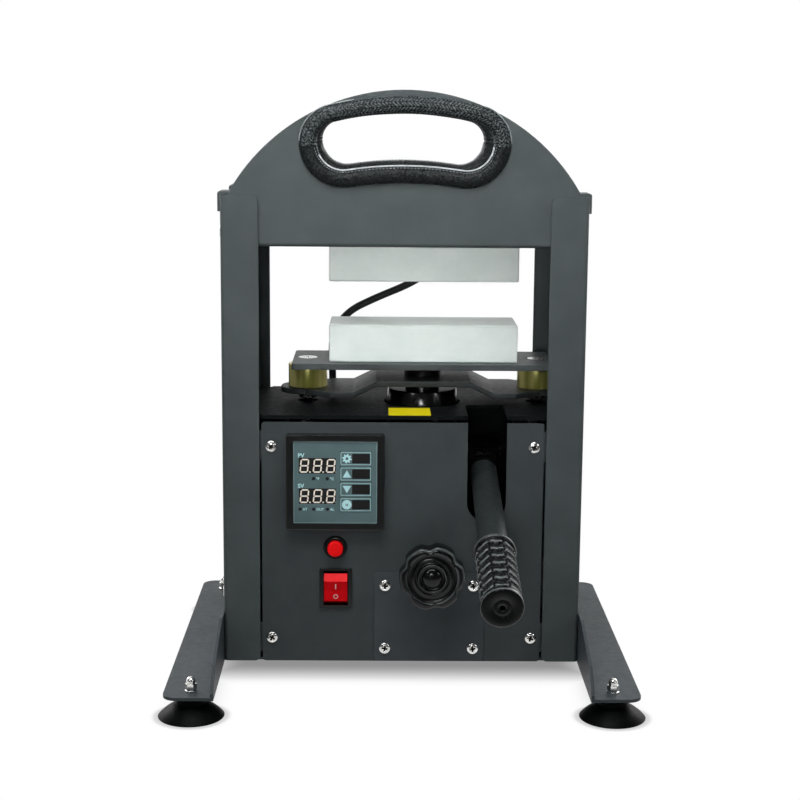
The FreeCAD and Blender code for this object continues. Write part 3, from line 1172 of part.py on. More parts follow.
def lift_strap(bolts_at):
    """A bent strap with a raised middle and narrow round ends."""
    body = body_of("lift_strap_body")
    drawing = sketch_on(body, "lift_strap_profile", "XZ_Plane", PRESS_BACK + " + strap_depth/2")
    low = STRAP_FOOT
    high = "(%s + strap_rise)" % STRAP_FOOT
    slope = "(strap_flat + strap_slope)"
    lower = [("-" + STRAP_HALF, low), ("-" + slope, low), ("-strap_flat", high), ("strap_flat", high),
             (slope, low), (STRAP_HALF, low)]
    line = [("press_right + (%s)" % x, z) for x, z in lower]
    back_line = [(x, z + " + strap_thick") for x, z in reversed(line)]
    polygon(drawing, line + back_line)
    pad(body, drawing, "lift_strap_depth", "strap_depth")
    full_half = "(%s - strap_neck)" % BOLT_OFFSET
    trims = sketch_on(body, "lift_strap_trims", "XY_Plane", STRAP_FOOT + " - 1")
    for side in ("-", "+"):
        for deep in ("-", "+"):
            edge = "%s %s strap_depth/2" % (PRESS_BACK, deep)
            outside = "%s %s (strap_depth/2 + 2)" % (PRESS_BACK, deep)
            full_end = "press_right %s %s" % (side, full_half)
            far = "press_right %s (%s + 2)" % (side, STRAP_HALF)
            tip = "%s %s strap_tip" % (PRESS_BACK, deep)
            polygon(trims, [(full_end, edge), (full_end, outside), (far, outside), (far, tip),
                            ("press_right %s (%s - strap_tip)" % (side, STRAP_HALF), tip)])
    pocket(body, trims, "lift_strap_trimming", "strap_thick + strap_rise + 2")
    end = size("press_right")
    reach = value(STRAP_HALF)
    soften(body, "lift_strap_ends", "strap_tip - strap_tip_flat", "z",
           lambda at: abs(abs(at.x - end) - reach) < 0.01)
    holes = sketch_on(body, "lift_strap_holes", "XY_Plane", STRAP_FOOT + " - 1")
    for x, y in bolts_at:
        circle(holes, x, y, "bolt_radius + stud_clear")
    pocket(body, holes, "lift_strap_drilling", "strap_thick + 2")
    keep_part(body, "lift_strap")


def jack():
    """The jack's block, tubes and nut, the pump beside it and the bracket of the lever's fulcrum."""
    axis = ("press_right", PRESS_BACK)
    pump = (PUMP_RIGHT, PUMP_BACK)
    form = block("jack_block", ("press_right - base_left", "press_right + base_right"),
                 (BASE_FRONT, PRESS_BACK + " + base_behind"), (BEAM_TOP, BASE_TOP))
    softened = rounded("jack_block_round", form, size("base_round"), "z")
    valve = rod("valve_bore", "y", (VALVE_RIGHT, VALVE_HIGH),
                (BASE_FRONT + " - 1", BASE_FRONT + " + valve_depth"), "valve_radius + slide_fit")
    well = rod("ram_well", "z", axis, (RAM_FOOT + " - well_room", BASE_TOP + " + 1"),
               "ram_radius + slide_fit")
    keep_part(cut("jack_block_bored", softened, [valve, well]), "jack_base")
    nut_foot = "(%s - nut_depth)" % NUT_TOP
    taper = "(%s - nut_taper)" % NUT_TOP
    through = (BASE_TOP + " - 1", nut_foot + " + 1")
    tube = rod("reservoir_form", "z", axis, (BASE_TOP, nut_foot), "jack_outer")
    inside = rod("reservoir_room", "z", axis, through, "jack_outer - jack_wall")
    reservoir = cut("reservoir_tube", tube, [inside])
    barrel = rod("cylinder_form", "z", axis, (BASE_TOP, nut_foot), "ram_radius + slide_fit + cylinder_wall")
    bore = rod("cylinder_bore", "z", axis, through, "ram_radius + slide_fit")
    keep_part(group("jack_tube_pair", [reservoir, cut("cylinder_tube", barrel, [bore])]), "jack_tubes")
    nut = fuse("jack_nut_form", [
        rod("jack_nut_lower", "z", axis, (nut_foot, taper), "nut_lower"),
        cone("jack_nut_upper", "z", axis, (taper, NUT_TOP), "nut_lower", "nut_upper")])
    throat = rod("jack_nut_bore", "z", axis, (nut_foot + " - 1", NUT_TOP + " + 1"), "ram_radius + slide_fit")
    keep_part(cut("jack_nut_solid", nut, [throat]), "jack_top_nut")
    pump_top = "(%s - plunger_rise - pump_gap)" % PIN_HIGH
    barrel = rod("pump_form", "z", pump, (BASE_TOP, pump_top), "pump_outer")
    bore = rod("pump_bore", "z", pump, (BASE_TOP + " - 1", pump_top + " + 1"), "plunger_radius + slide_fit")
    keep_part(cut("pump_tube", barrel, [bore]), "pump_body")
    plunger(pump)
    fulcrum_bracket()


def plunger(pump):
    """The pump's plunger, with a head whose level slot takes the pump's pin."""
    head = block("plunger_head", around(PUMP_RIGHT, "plunger_half"), around(PUMP_BACK, "plunger_deep"),
                 around(PIN_HIGH, "plunger_rise"))
    stem = rod("plunger_stem", "z", pump, (BASE_TOP + " + plunger_clear", PIN_HIGH + " - plunger_rise + 1"),
               "plunger_radius")
    room = "(pin_radius + pin_play)"
    across = around(PUMP_RIGHT, "(plunger_half + 1)")
    slot = fuse("plunger_slot", [
        block("plunger_slot_middle", across, around(PUMP_BACK, "pin_slide"), around(PIN_HIGH, room)),
        rod("plunger_slot_front", "x", (PUMP_BACK + " - pin_slide", PIN_HIGH), across, room),
        rod("plunger_slot_back", "x", (PUMP_BACK + " + pin_slide", PIN_HIGH), across, room)])
    keep_part(cut("plunger_solid", fuse("plunger_form", [head, stem]), [slot]), "pump_plunger")


def fulcrum_bracket():
    """Two upright plates on the jack's block, with the pin that the lever swings on."""
    near = "(socket_half + bracket_gap)"
    far = "(socket_half + bracket_gap + bracket_plate + 1)"
    at = (FULCRUM_BACK, FULCRUM_HIGH)
    plates = []
    hole = rod("fulcrum_hole", "x", at, around(PUMP_RIGHT, far), "fulcrum_radius + thread_fit")
    y = around(FULCRUM_BACK, "bracket_half")
    for side, word in SIDES:
        x = sides(side, near, near + " + bracket_plate")
        span = (PUMP_RIGHT + " + (%s)" % x[0], PUMP_RIGHT + " + (%s)" % x[1])
        plates.append(block("bracket_plate_" + word, span, y, (BASE_TOP, FULCRUM_HIGH)))
        plates.append(rod("bracket_eye_" + word, "x", at, span, "bracket_over"))
    plates.append(block("bracket_foot_plate", around(PUMP_RIGHT, near), y,
                        (BASE_TOP, BASE_TOP + " + bracket_foot")))
    keep_part(cut("bracket_solid", fuse("bracket_form", plates), [hole]), "fulcrum_bracket")
    end = "%s + %s" % (PUMP_RIGHT, far)
    keep_part(fuse("fulcrum_pin_solid", [
        rod("fulcrum_pin_shaft", "x", at, (PUMP_RIGHT + " - " + far, end), "fulcrum_radius"),
        rod("fulcrum_pin_head", "x", at, (end + " - 1", end + " - 1 + fulcrum_head"),
            "fulcrum_radius + fulcrum_head")]), "fulcrum_pin")


def lever():
    """The pump's lever along its own line: a forked socket, the pump's pin, the tube and the grip."""
    centre = ("0", "0")
    form = fuse("socket_form", [
        block("socket_block", ("-socket_half", "socket_half"), ("-socket_front", "0"),
              ("-socket_high", "socket_high")),
        rod("socket_eye", "x", centre, ("-socket_half", "socket_half"), "socket_high"),
        rod("socket_ring", "y", centre, ("-" + TUBE_START, "-socket_front + 1"), "tube_radius"),
        rod("socket_spigot", "y", centre, ("-%s - spigot_length" % TUBE_START, "-%s + 1" % TUBE_START),
            "tube_radius - tube_wall - spigot_fit")])
    fork = block("socket_fork", ("-plunger_half - cheek_gap", "plunger_half + cheek_gap"),
                 ("-socket_front + fork_end", "-fork_start"), ("-socket_high - 1", "socket_high + 1"))
    through = ("-socket_half - 1", "socket_half + 1")
    pivot = rod("socket_pivot", "x", centre, through, "fulcrum_radius + slide_fit")
    pin_hole = rod("socket_pin_hole", "x", ("-pump_arm", "0"), through, "pin_radius + thread_fit")
    keep_lever_part(cut("socket_solid", form, [fork, pivot, pin_hole]), "lever_socket")
    pin = rod("pump_pin_shaft", "x", ("-pump_arm", "0"), ("-socket_half", "socket_half"), "pin_radius")
    keep_lever_part(group("pump_pin_rod", [pin]), "pump_pin")
    tube = rod("tube_form", "y", centre, ("-lever_reach + rubber_cap", "-" + TUBE_START), "tube_radius")
    bore = rod("tube_bore", "y", centre, ("-lever_reach + rubber_cap - 1", "-%s + 1" % TUBE_START),
               "tube_radius - tube_wall")
    keep_lever_part(cut("tube_solid", tube, [bore]), "lever_tube")
    grip()


def grip():
    """The lever's grip: a collar, ribs and a wider closed end."""
    centre = ("0", "0")
    start = "-lever_reach + rubber_length"
    pieces = [
        rod("grip_middle", "y", centre, ("-lever_reach", start), "rubber_radius"),
        rod("grip_collar", "y", centre, (start + " - rubber_collar_length", start), "rubber_collar"),
        rod("grip_end", "y", centre, ("-lever_reach", "-lever_reach + rubber_end_length"), "rubber_end")]
    room = "(rubber_length - rubber_rib_start - rubber_rib_stop)"
    for index in range(int(size("rubber_ribs"))):
        low = "-lever_reach + rubber_rib_start + %s*%d/(rubber_ribs - 1)" % (room, index)
        pieces.append(rod("grip_rib_%d" % index, "y", centre, (low, low + " + rubber_rib_width"),
                          "rubber_radius + rubber_rib"))
    inside = rod("grip_bore", "y", centre, ("-lever_reach + rubber_cap", start + " + 1"),
                 "tube_radius + thread_fit")
    vent = rod("grip_vent", "y", centre, ("-lever_reach - 1", "-lever_reach + rubber_cap + 1"), "rubber_vent")
    keep_lever_part(cut("grip_solid", fuse("grip_form", pieces), [inside, vent]), "lever_grip")


def release_valve():
    """The valve's long shaft and the lobed knob on its front end."""
    at = (VALVE_RIGHT, VALVE_HIGH)
    front = "(-knob_back - knob_thick)"
    face = "(-knob_back - knob_thick + knob_recess)"
    keep_part(rod("valve_shaft", "y", at, (front + " + knob_cap", BASE_FRONT + " + valve_depth - 1"),
                  "valve_radius"), "release_shaft")
    disc = rod("knob_disc", "y", at, (front, "-knob_back"), "knob_radius")
    hub = rod("knob_hub_form", "y", at, ("-knob_back", "-knob_back + knob_hub"), "knob_ring")
    dish = rod("knob_dish", "y", at, (front + " - 1", face), "knob_rim")
    rimmed = cut("knob_rimmed", fuse("knob_blank", [disc, hub]), [dish])
    ring = rod("knob_ring_form", "y", at, (face + " - knob_ring_high", face), "knob_ring")
    well = rod("knob_ring_well", "y", at, (face + " - knob_ring_high - 1", face + " + 1"), "knob_ring_inner")
    raised = cut("knob_ring_cut", ring, [well])
    boss = dome("knob_boss", "y", at, face, "knob_dome", "knob_dome_high", True)
    hollows = []
    for index in range(int(size("knob_lobes"))):
        turn = "(knob_turn + 360/knob_lobes*%d)" % index
        reach = "(knob_radius + knob_hollow - knob_bite)"
        spot = ("%s + %s*cos%s" % (at[0], reach, turn), "%s + %s*sin%s" % (at[1], reach, turn))
        hollows.append(rod("knob_hollow_%d" % index, "y", spot, (front + " - 1", "-knob_back + 1"),
                           "knob_hollow"))
    bore = rod("knob_bore", "y", at, (front + " + knob_cap", "-knob_back + knob_hub + 1"),
               "valve_radius + thread_fit")
    keep_part(cut("knob_solid", fuse("knob_form", [rimmed, raised, boss]), hollows + [bore]), "release_knob")


def panel_screw_spots():
    return [("%s(%s - panel_screw_inset)" % (sign, PANEL_HALF), level) for sign in ("-", "")
            for level in ("(%s - panel_screw_under)" % PANEL_TOP, "(panel_foot + panel_screw_over)")]


def cover_screw_spots():
    across = ("(cover_left + cover_inset)", "(cover_left + cover_width - cover_inset)")
    levels = ("(cover_foot + cover_inset_up)", "(%s - cover_inset_up)" % COVER_TOP)
    return [(x, z) for x in across for z in levels]


def front_panel():
    """The cabinet's front, with its openings for the controls, the valve, the lever and the service hatch."""
    body = body_of("front_panel_body")
    drawing = sketch_on(body, "front_panel_outline", "XZ_Plane", PANEL_BACK)
    rectangle(drawing, ("-" + PANEL_HALF, PANEL_HALF), ("panel_foot", PANEL_TOP))
    half = "(meter_body/2 + meter_clear)"
    rectangle(drawing, around(METER_RIGHT, half), around(METER_HIGH, half))
    rectangle(drawing, around(ROCKER_RIGHT, "(rocker_case_width/2 + cutout_clear)"),
              around(ROCKER_HIGH, "(rocker_case_height/2 + cutout_clear)"))
    circle(drawing, METER_RIGHT, BUTTON_HIGH, "button_barrel + cutout_clear")
    circle(drawing, VALVE_RIGHT, VALVE_HIGH, "valve_radius + valve_clear")
    rectangle(drawing, ("cover_left + cover_hole", "cover_left + cover_width - cover_hole"),
              ("cover_foot + cover_hole", COVER_TOP + " - cover_hole"))
    for x, z in panel_screw_spots() + cover_screw_spots():
        circle(drawing, x, z, "screw_radius + stud_clear")
    pad(body, drawing, "front_panel_sheet", "panel_thick")
    slot_centre = "(%s - slot_drop + lever_slot)" % FULCRUM_HIGH
    way = sketch_on(body, "front_panel_way", "XZ_Plane", PANEL_BACK)
    rectangle(way, around(PUMP_RIGHT, "lever_slot"), (slot_centre, PANEL_TOP + " + 2"))
    pocket(body, way, "front_panel_way_cut", "panel_thick")
    heel = sketch_on(body, "front_panel_heel", "XZ_Plane", PANEL_BACK)
    circle(heel, PUMP_RIGHT, slot_centre, "lever_slot")
    pocket(body, heel, "front_panel_heel_cut", "panel_thick")
    edge = value(PANEL_HALF)
    soften(body, "front_panel_corners", "panel_round", "y", lambda at: abs(abs(at.x) - edge) < 0.01)
    keep_part(body, "front_panel")


def top_plate():
    """The cabinet's top, which reaches between the posts' flanges, and the angles it lies on."""
    body = body_of("top_plate_body")
    under = "(cabinet_top - top_thick)"
    drawing = sketch_on(body, "top_plate_outline", "XY_Plane", under)
    edge = "(%s - weld_gap)" % WEB
    near = "(post_sheet + weld_gap)"
    far = "(post_depth - post_sheet - weld_gap)"
    slot = around(PUMP_RIGHT, "lever_slot")
    polygon(drawing, [("-" + PANEL_HALF, PANEL_FRONT), (slot[0], PANEL_FRONT), (slot[0], "slot_back"),
                      (slot[1], "slot_back"), (slot[1], PANEL_FRONT), (PANEL_HALF, PANEL_FRONT),
                      (PANEL_HALF, near), (edge, near), (edge, far), (PANEL_HALF, far),
                      (PANEL_HALF, "post_depth"), ("-" + PANEL_HALF, "post_depth"), ("-" + PANEL_HALF, far),
                      ("-" + edge, far), ("-" + edge, near), ("-" + PANEL_HALF, near)])
    circle(drawing, "press_right", PRESS_BACK, "nut_lower + nut_hole_gap")
    for side in ("-", "+"):
        circle(drawing, "press_right %s %s" % (side, BOLT_OFFSET), PRESS_BACK, "spring_hole")
    circle(drawing, str(LEAD_POINTS[-1][0]), LEAD_BACK, "lead_radius + gland_clear")
    pad(body, drawing, "top_plate_sheet", "top_thick")
    slot_edges = [value(text) for text in slot]
    soften(body, "top_plate_slot_corners", "slot_round", "z",
           lambda at: abs(at.y - size("slot_back")) < 0.01 and min(abs(at.x - x) for x in slot_edges) < 0.01)
    keep_part(body, "top_plate")
    angles = []
    for side, word in SIDES:
        y = ("angle_inset", "post_depth - angle_inset")
        wall = block("top_angle_wall_" + word, sides(side, WEB + " - angle_thick", WEB), y,
                     (under + " - angle_width", under))
        shelf = block("top_angle_shelf_" + word, sides(side, WEB + " - angle_width", WEB), y,
                      (under + " - angle_thick", under))
        angles.append(fuse("top_angle_" + word, [wall, shelf]))
    return angles


def cabinet():
    """The front panel, top plate, service cover and rear panel, with their tabs and screws."""
    front_panel()
    brackets = top_plate()
    service_cover()
    rear_panel()
    screws = []
    rear_tab = "(post_depth - post_sheet - tab_thick)"
    rear_face = "(post_depth - %s)" % PANEL_FRONT
    for word, back, face in (("front", "post_sheet", PANEL_FRONT), ("rear", rear_tab, rear_face)):
        for index, (x, z) in enumerate(panel_screw_spots()):
            side = 1 if index > 1 else -1
            name = "%s_tab_%d" % (word, index)
            inner = "%s - panel_screw_inset - tab_reach" % PANEL_HALF
            plate = block(name + "_plate", sides(side, inner, WEB), (back, back + " + tab_thick"),
                          (z + " - tab_height/2", z + " + tab_height/2"))
            hole = rod(name + "_hole", "y", (x, z), (back + " - 1", back + " + tab_thick + 1"),
                       "screw_radius + thread_fit")
            brackets.append(cut(name, plate, [hole]))
            screws.append(screw("%s_screw_%d" % (word, index), x, z, face, word == "front"))
    keep_part(group("bracket_set", brackets), "cabinet_brackets")
    for index, (x, z) in enumerate(cover_screw_spots()):
        screws.append(screw("cover_screw_%d" % index, x, z, "0", True))
    keep_part(group("screw_set", screws), "panel_screws")


def screw(name, x, z, face, forward):
    """A cross-head screw whose head stands on a face."""
    if forward:
        head_span = (face + " - screw_dome", face)
        shank_span = (face, face + " + screw_length")
        head = cone(name + "_head", "y", (x, z), head_span, "screw_crown", "screw_head")
        cross_span = (face + " - screw_dome - 1", face + " - screw_dome + cross_depth")
    else:
        head_span = (face, face + " + screw_dome")
        shank_span = (face + " - screw_length", face)
        head = cone(name + "_head", "y", (x, z), head_span, "screw_head", "screw_crown")
        cross_span = (face + " + screw_dome - cross_depth", face + " + screw_dome + 1")
    shank = rod(name + "_shank", "y", (x, z), shank_span, "screw_radius")
    arms = [block("%s_arm_%d" % (name, n), ("%s - %s" % (x, wide), "%s + %s" % (x, wide)), cross_span,
                  ("%s - %s" % (z, tall), "%s + %s" % (z, tall)))
            for n, (wide, tall) in enumerate((("cross_reach", "cross_half"), ("cross_half", "cross_reach")))]
    return cut(name, fuse(name + "_form", [head, shank]), arms)


def service_cover():
    """A flat cover over the service hatch, notched for the valve's shaft."""
    body = body_of("service_cover_body")
    drawing = sketch_on(body, "service_cover_outline", "XZ_Plane", PANEL_FRONT)
    rectangle(drawing, ("cover_left", "cover_left + cover_width"), ("cover_foot", COVER_TOP))
    for x, z in cover_screw_spots():
        circle(drawing, x, z, "screw_radius + stud_clear")
    pad(body, drawing, "service_cover_sheet", PANEL_FRONT)
    notch = sketch_on(body, "service_cover_notch", "XZ_Plane", PANEL_FRONT)
    circle(notch, VALVE_RIGHT, VALVE_HIGH, "valve_radius + valve_clear")
    pocket(body, notch, "service_cover_notch_cut", PANEL_FRONT)
    across = (value("cover_left"), value("cover_left + cover_width"))
    ends = (value("cover_foot"), value(COVER_TOP))
    soften(body, "service_cover_corners", "panel_round", "y",
           lambda at: min(abs(at.x - x) for x in across) < 0.01 and min(abs(at.z - z) for z in ends) < 0.01)
    keep_part(body, "service_cover")


def rear_panel():
    """The cabinet's back with its vents and the opening of the power inlet."""
    body = body_of("rear_panel_body")
    drawing = sketch_on(body, "rear_panel_outline", "XZ_Plane", "post_depth - post_sheet + panel_thick")
    rectangle(drawing, ("-" + PANEL_HALF, PANEL_HALF), ("panel_foot", PANEL_TOP))
    for x, z in panel_screw_spots():
        circle(drawing, x, z, "screw_radius + stud_clear")
    rectangle(drawing, around(INLET_RIGHT, "(inlet_socket/2 + inlet_wall + cutout_clear)"),
              around(INLET_HIGH, "(inlet_socket_height/2 + inlet_wall + cutout_clear)"))
    level = "(%s - vent_under)" % PANEL_TOP
    for index in range(int(size("vent_count"))):
        middle = "(vent_pitch*%d - vent_left)" % index
        rectangle(drawing, around(middle, "vent_width/2"), around(level, "vent_length/2"))
    pad(body, drawing, "rear_panel_sheet", "panel_thick")
    edge = value(PANEL_HALF)
    soften(body, "rear_panel_corners", "panel_round", "y", lambda at: abs(abs(at.x) - edge) < 0.01)
    keep_part(body, "rear_panel")


def controller():
    """The controller's bezel and case, its face plate with two windows, and the four keys."""
    front = "(%s - meter_proud)" % PANEL_FRONT
    face = "(%s + meter_sink)" % front
    bezel = block("meter_bezel", around(METER_RIGHT, "meter_width/2"), (front, PANEL_FRONT),
                  around(METER_HIGH, "meter_height/2"))
    softened = rounded("meter_bezel_round", bezel, size("meter_round"), "y")
    case = block("meter_case", around(METER_RIGHT, "meter_body/2"),
                 (PANEL_FRONT + " - 1", PANEL_FRONT + " + meter_depth"), around(METER_HIGH, "meter_body/2"))
    half = "(meter_face/2 + meter_face_gap)"
    room = block("meter_room", around(METER_RIGHT, half),
                 (front + " - 1", face + " + meter_plate + key_travel + key_room"), around(METER_HIGH, half))
    keep_part(cut("meter_shell", fuse("meter_form", [softened, case]), [room]), "controller_case")
    plate = block("meter_plate_form", around(METER_RIGHT, "meter_face/2"), (face, face + " + meter_plate"),
                  around(METER_HIGH, "meter_face/2"))
    holes = []
    left = METER_RIGHT + " + window_left"
    for word, level in (("upper", "window_upper"), ("lower", "window_lower")):
        middle = "(%s + %s)" % (METER_HIGH, level)
        holes.append(block(word + "_window_hole", (left, left + " + window_width"),
                           (face + " - 1", face + " + window_sink"), around(middle, "window_height/2")))
    keys = []
    for index, word in enumerate(("menu", "raise", "reduce", "standby")):
        level = "(%s + key_top - key_pitch*%d)" % (METER_HIGH, index)
        middle = "(%s + key_right)" % METER_RIGHT
        holes.append(block(word + "_key_hole", around(middle, "(key_width/2 + key_gap)"),
                           (face + " - 1", face + " + meter_plate + 1"),
                           around(level, "(key_height/2 + key_gap)")))
        cap = block(word + "_key_form", around(middle, "key_width/2"),
                    (face + " - key_proud", face + " + meter_plate"), around(level, "key_height/2"))
        keys.append((rounded(word + "_key_round", cap, size("key_round"), "y"), word + "_key"))
    keep_part(cut("meter_plate_solid", plate, holes), "controller_face")
    for thing, label in keys:
        keep_part(thing, label)


def push_button():
    """The push button's ringed body and its cap."""
    at = (METER_RIGHT, BUTTON_HIGH)
    shell = fuse("button_form", [
        cone("button_bezel_form", "y", at, (PANEL_FRONT + " - button_bezel", PANEL_FRONT),
             "button_radius - button_bevel", "button_radius"),
        rod("button_barrel_form", "y", at, (PANEL_FRONT + " - 1", PANEL_FRONT + " + button_depth"),
            "button_barrel")])
    well = rod("button_well_form", "y", at,
               (PANEL_FRONT + " - button_bezel - 1", PANEL_FRONT + " + button_well"), "cap_radius + cap_gap")
    keep_part(cut("button_shell", shell, [well]), "button_body")
    cap = rod("button_cap_form", "y", at,
              (PANEL_FRONT + " - cap_proud", PANEL_FRONT + " + button_well - cap_travel - cap_gap"),
              "cap_radius")
    doc.recompute()
    edged = doc.addObject("Part::Fillet", "button_cap_round")
    edged.Base = cap
    front = cap.Shape.BoundBox.YMin
    round_size = size("cap_round")
    edged.Edges = [(number, round_size, round_size) for number, edge in enumerate(cap.Shape.Edges, start=1)
                   if abs(edge.CenterOfMass.y - front) < 0.01]
    keep_part(edged, "button_cap")


def rocker_switch():
    """The rocker switch's housing and the rocker, which tips about a pin behind its face."""
    bezel = block("rocker_bezel_form", around(ROCKER_RIGHT, "rocker_width/2"),
                  (PANEL_FRONT + " - rocker_bezel", PANEL_FRONT), around(ROCKER_HIGH, "rocker_height/2"))
    case = block("rocker_case", around(ROCKER_RIGHT, "rocker_case_width/2"),
                 (PANEL_FRONT + " - 1", PANEL_FRONT + " + rocker_depth"),
                 around(ROCKER_HIGH, "rocker_case_height/2"))
    room = block("rocker_room_form", around(ROCKER_RIGHT, "(rocker_face_width/2 + rocker_gap)"),
                 (PANEL_FRONT + " - rocker_bezel - 1", PANEL_FRONT + " + rocker_room"),
                 around(ROCKER_HIGH, "(rocker_end_half + rocker_end_gap)"))
    softened = rounded("rocker_bezel_round", bezel, size("rocker_round"), "y")
    keep_part(cut("rocker_shell", fuse("rocker_shell_form", [softened, case]), [room]), "rocker_housing")
    crest = -size("rocker_swell") - size("rocker_pivot")
    half = size("rocker_face_half")
    end = size("rocker_end_half")
    heel = size("rocker_heel")
    width = size("rocker_face_width")
    outline = [(crest + size("rocker_hollow"), 0.0), (crest, half), (crest + size("rocker_slope"), end),
               (heel, half), (size("rocker_keel"), 0.0), (heel, -half),
               (crest + size("rocker_slope"), -end), (crest, -half)]
    points = [FreeCAD.Vector(-width / 2, y, height) for y, height in outline]
    solid = Part.Face(Part.makePolygon(points + points[:1])).extrude(FreeCAD.Vector(width, 0, 0))
    pin_half = width / 2 + size("rocker_gap") / 2
    pin = Part.makeCylinder(size("rocker_pin"), 2 * pin_half, FreeCAD.Vector(-pin_half, 0, 0),
                            FreeCAD.Vector(1, 0, 0))
    solid = solid.fuse(pin).removeSplitter()
    solid.rotate(FreeCAD.Vector(), FreeCAD.Vector(1, 0, 0), size("rocker_tilt"))
    pivot_back = value(PANEL_FRONT + " + rocker_pivot")
    solid.translate(FreeCAD.Vector(value(ROCKER_RIGHT), pivot_back, value(ROCKER_HIGH)))
    keep_shape(solid, "rocker")


def power_inlet():
    """The power inlet in the rear panel, with its three blades."""
    face = "(post_depth - %s)" % PANEL_FRONT
    rear = face + " - inlet_depth"
    flange = block("inlet_flange_form", around(INLET_RIGHT, "inlet_width/2"),
                   (face, face + " + inlet_flange"), around(INLET_HIGH, "inlet_height/2"))
    case = block("inlet_case", around(INLET_RIGHT, "(inlet_socket/2 + inlet_wall)"),
                 (rear + " - inlet_back", face + " + 1"),
                 around(INLET_HIGH, "(inlet_socket_height/2 + inlet_wall)"))
    room = block("inlet_room", around(INLET_RIGHT, "inlet_socket/2"), (rear, face + " + inlet_flange + 1"),
                 around(INLET_HIGH, "inlet_socket_height/2"))
    softened = rounded("inlet_flange_round", flange, size("inlet_round"), "y")
    pieces = [cut("inlet_shell", fuse("inlet_form", [softened, case]), [room])]
    for n, (aside, lift) in enumerate((("- blade_pitch", "- blade_drop"), ("", "+ blade_lift"),
                                       ("+ blade_pitch", "- blade_drop"))):
        pieces.append(block("inlet_blade_%d" % n, around("%s %s" % (INLET_RIGHT, aside), "blade_half"),
                            (rear + " - 1", face + " - blade_sink"),
                            around("%s %s" % (INLET_HIGH, lift), "blade_tall")))
    keep_part(fuse("inlet_solid", pieces), "power_inlet")


def return_springs():
    """Two coil springs from the base beam up to the tails of the carriage bolts."""
    low = value(BEAM_TOP)
    high = value(STRAP_FOOT + " - bolt_nut_height - bolt_tail")
    wire = size("spring_wire")
    turns = int(size("spring_coils"))
    climb = (high - low - 2 * wire) / turns
    print("least gap between the spring's coils %.2f" % (climb - 2 * wire))
    coil = spring_coil(size("spring_outer") - wire, wire, low + wire, climb, turns)
    pair = []
    for side, word in SIDES:
        shape = coil.copy()
        across = size("press_right") + side * value(BOLT_OFFSET)
        shape.translate(FreeCAD.Vector(across, value(PRESS_BACK), 0))
        pair.append(shape)
    keep_shape(Part.makeCompound(pair), "return_springs")


def spring_coil(radius, wire, start, climb, turns):
    """Sweep the wire along quarter turns of a helix."""
    edges = []
    for quarter in range(turns * 4):
        spots = []
        for share in (0.0, 0.5, 1.0):
            turn = (quarter + share) * math.pi / 2
            spots.append(FreeCAD.Vector(radius * math.cos(turn), radius * math.sin(turn),
                                        start + climb * (quarter + share) / 4))
        edges.append(Part.Arc(*spots).toShape())
    path = Part.Wire(edges)
    ahead = FreeCAD.Vector(0, 1, climb / (2 * math.pi * radius))
    ring = Part.Wire(Part.Circle(FreeCAD.Vector(radius, 0, start), ahead, wire).toShape())
    return path.makePipeShell([ring], True, False)


def write_parts():
    """Check every object and each kept sub-part, then write the sub-parts."""
    doc.recompute()
    for thing in doc.Objects:
        if "Invalid" in thing.State or "Error" in thing.State:
            raise RuntimeError("%s is in the state %s" % (thing.Name, thing.State))
    labels = [thing.Label for thing in parts]
    if len(labels) != len(set(labels)):
        raise RuntimeError("a sub-part's name is used twice")
    for thing in parts:
        if thing.Shape.isNull() or not thing.Shape.isValid() or not thing.Shape.Solids:
            raise RuntimeError(thing.Label + " has no valid solid")
    os.makedirs("parts", exist_ok=True)
    for thing in parts:
        thing.Shape.exportStep("parts/%s.step" % thing.Label)
    print("%d sub-parts written" % len(parts))


posts()
legs()
feet()
beams()
frame_bolts()
head_plates()
handle_wraps()
tie_straps()
upper_platen()
upper_lead()
carriage()
jack()
lever()
release_valve()
cabinet()
controller()
push_button()
rocker_switch()
power_inlet()
return_springs()
write_parts()
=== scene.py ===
"""Looks of the bench press: finishes, the soft and moulded pieces, the printed controls and the studio.

Places are in metres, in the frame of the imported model. Sizes of small pieces are written in
millimetres and turned into metres by MM.
"""
import bpy
import math
from mathutils import Matrix, Vector


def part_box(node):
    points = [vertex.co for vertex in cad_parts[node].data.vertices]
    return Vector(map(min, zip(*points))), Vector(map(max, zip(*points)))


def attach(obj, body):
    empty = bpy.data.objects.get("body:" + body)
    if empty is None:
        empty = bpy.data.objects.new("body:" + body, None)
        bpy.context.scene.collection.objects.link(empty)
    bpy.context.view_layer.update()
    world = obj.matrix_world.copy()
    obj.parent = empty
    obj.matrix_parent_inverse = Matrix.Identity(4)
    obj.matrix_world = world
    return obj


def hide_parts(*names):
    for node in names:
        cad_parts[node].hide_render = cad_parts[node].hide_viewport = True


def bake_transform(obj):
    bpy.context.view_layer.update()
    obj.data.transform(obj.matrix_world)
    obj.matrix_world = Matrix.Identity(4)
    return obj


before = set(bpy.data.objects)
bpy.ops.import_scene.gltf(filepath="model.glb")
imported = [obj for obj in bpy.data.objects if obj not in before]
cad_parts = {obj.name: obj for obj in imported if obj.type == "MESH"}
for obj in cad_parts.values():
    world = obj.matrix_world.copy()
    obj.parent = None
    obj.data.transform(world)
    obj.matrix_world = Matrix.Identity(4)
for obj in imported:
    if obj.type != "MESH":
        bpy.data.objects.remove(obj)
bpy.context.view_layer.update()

MM = 0.001
scene = bpy.context.scene
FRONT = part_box("left_post")[0].y          # front face of the posts
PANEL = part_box("front_panel")[0].y        # front face of the cabinet's panel


def middle(node):
    low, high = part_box(node)
    return (low + high) / 2


# Shapes

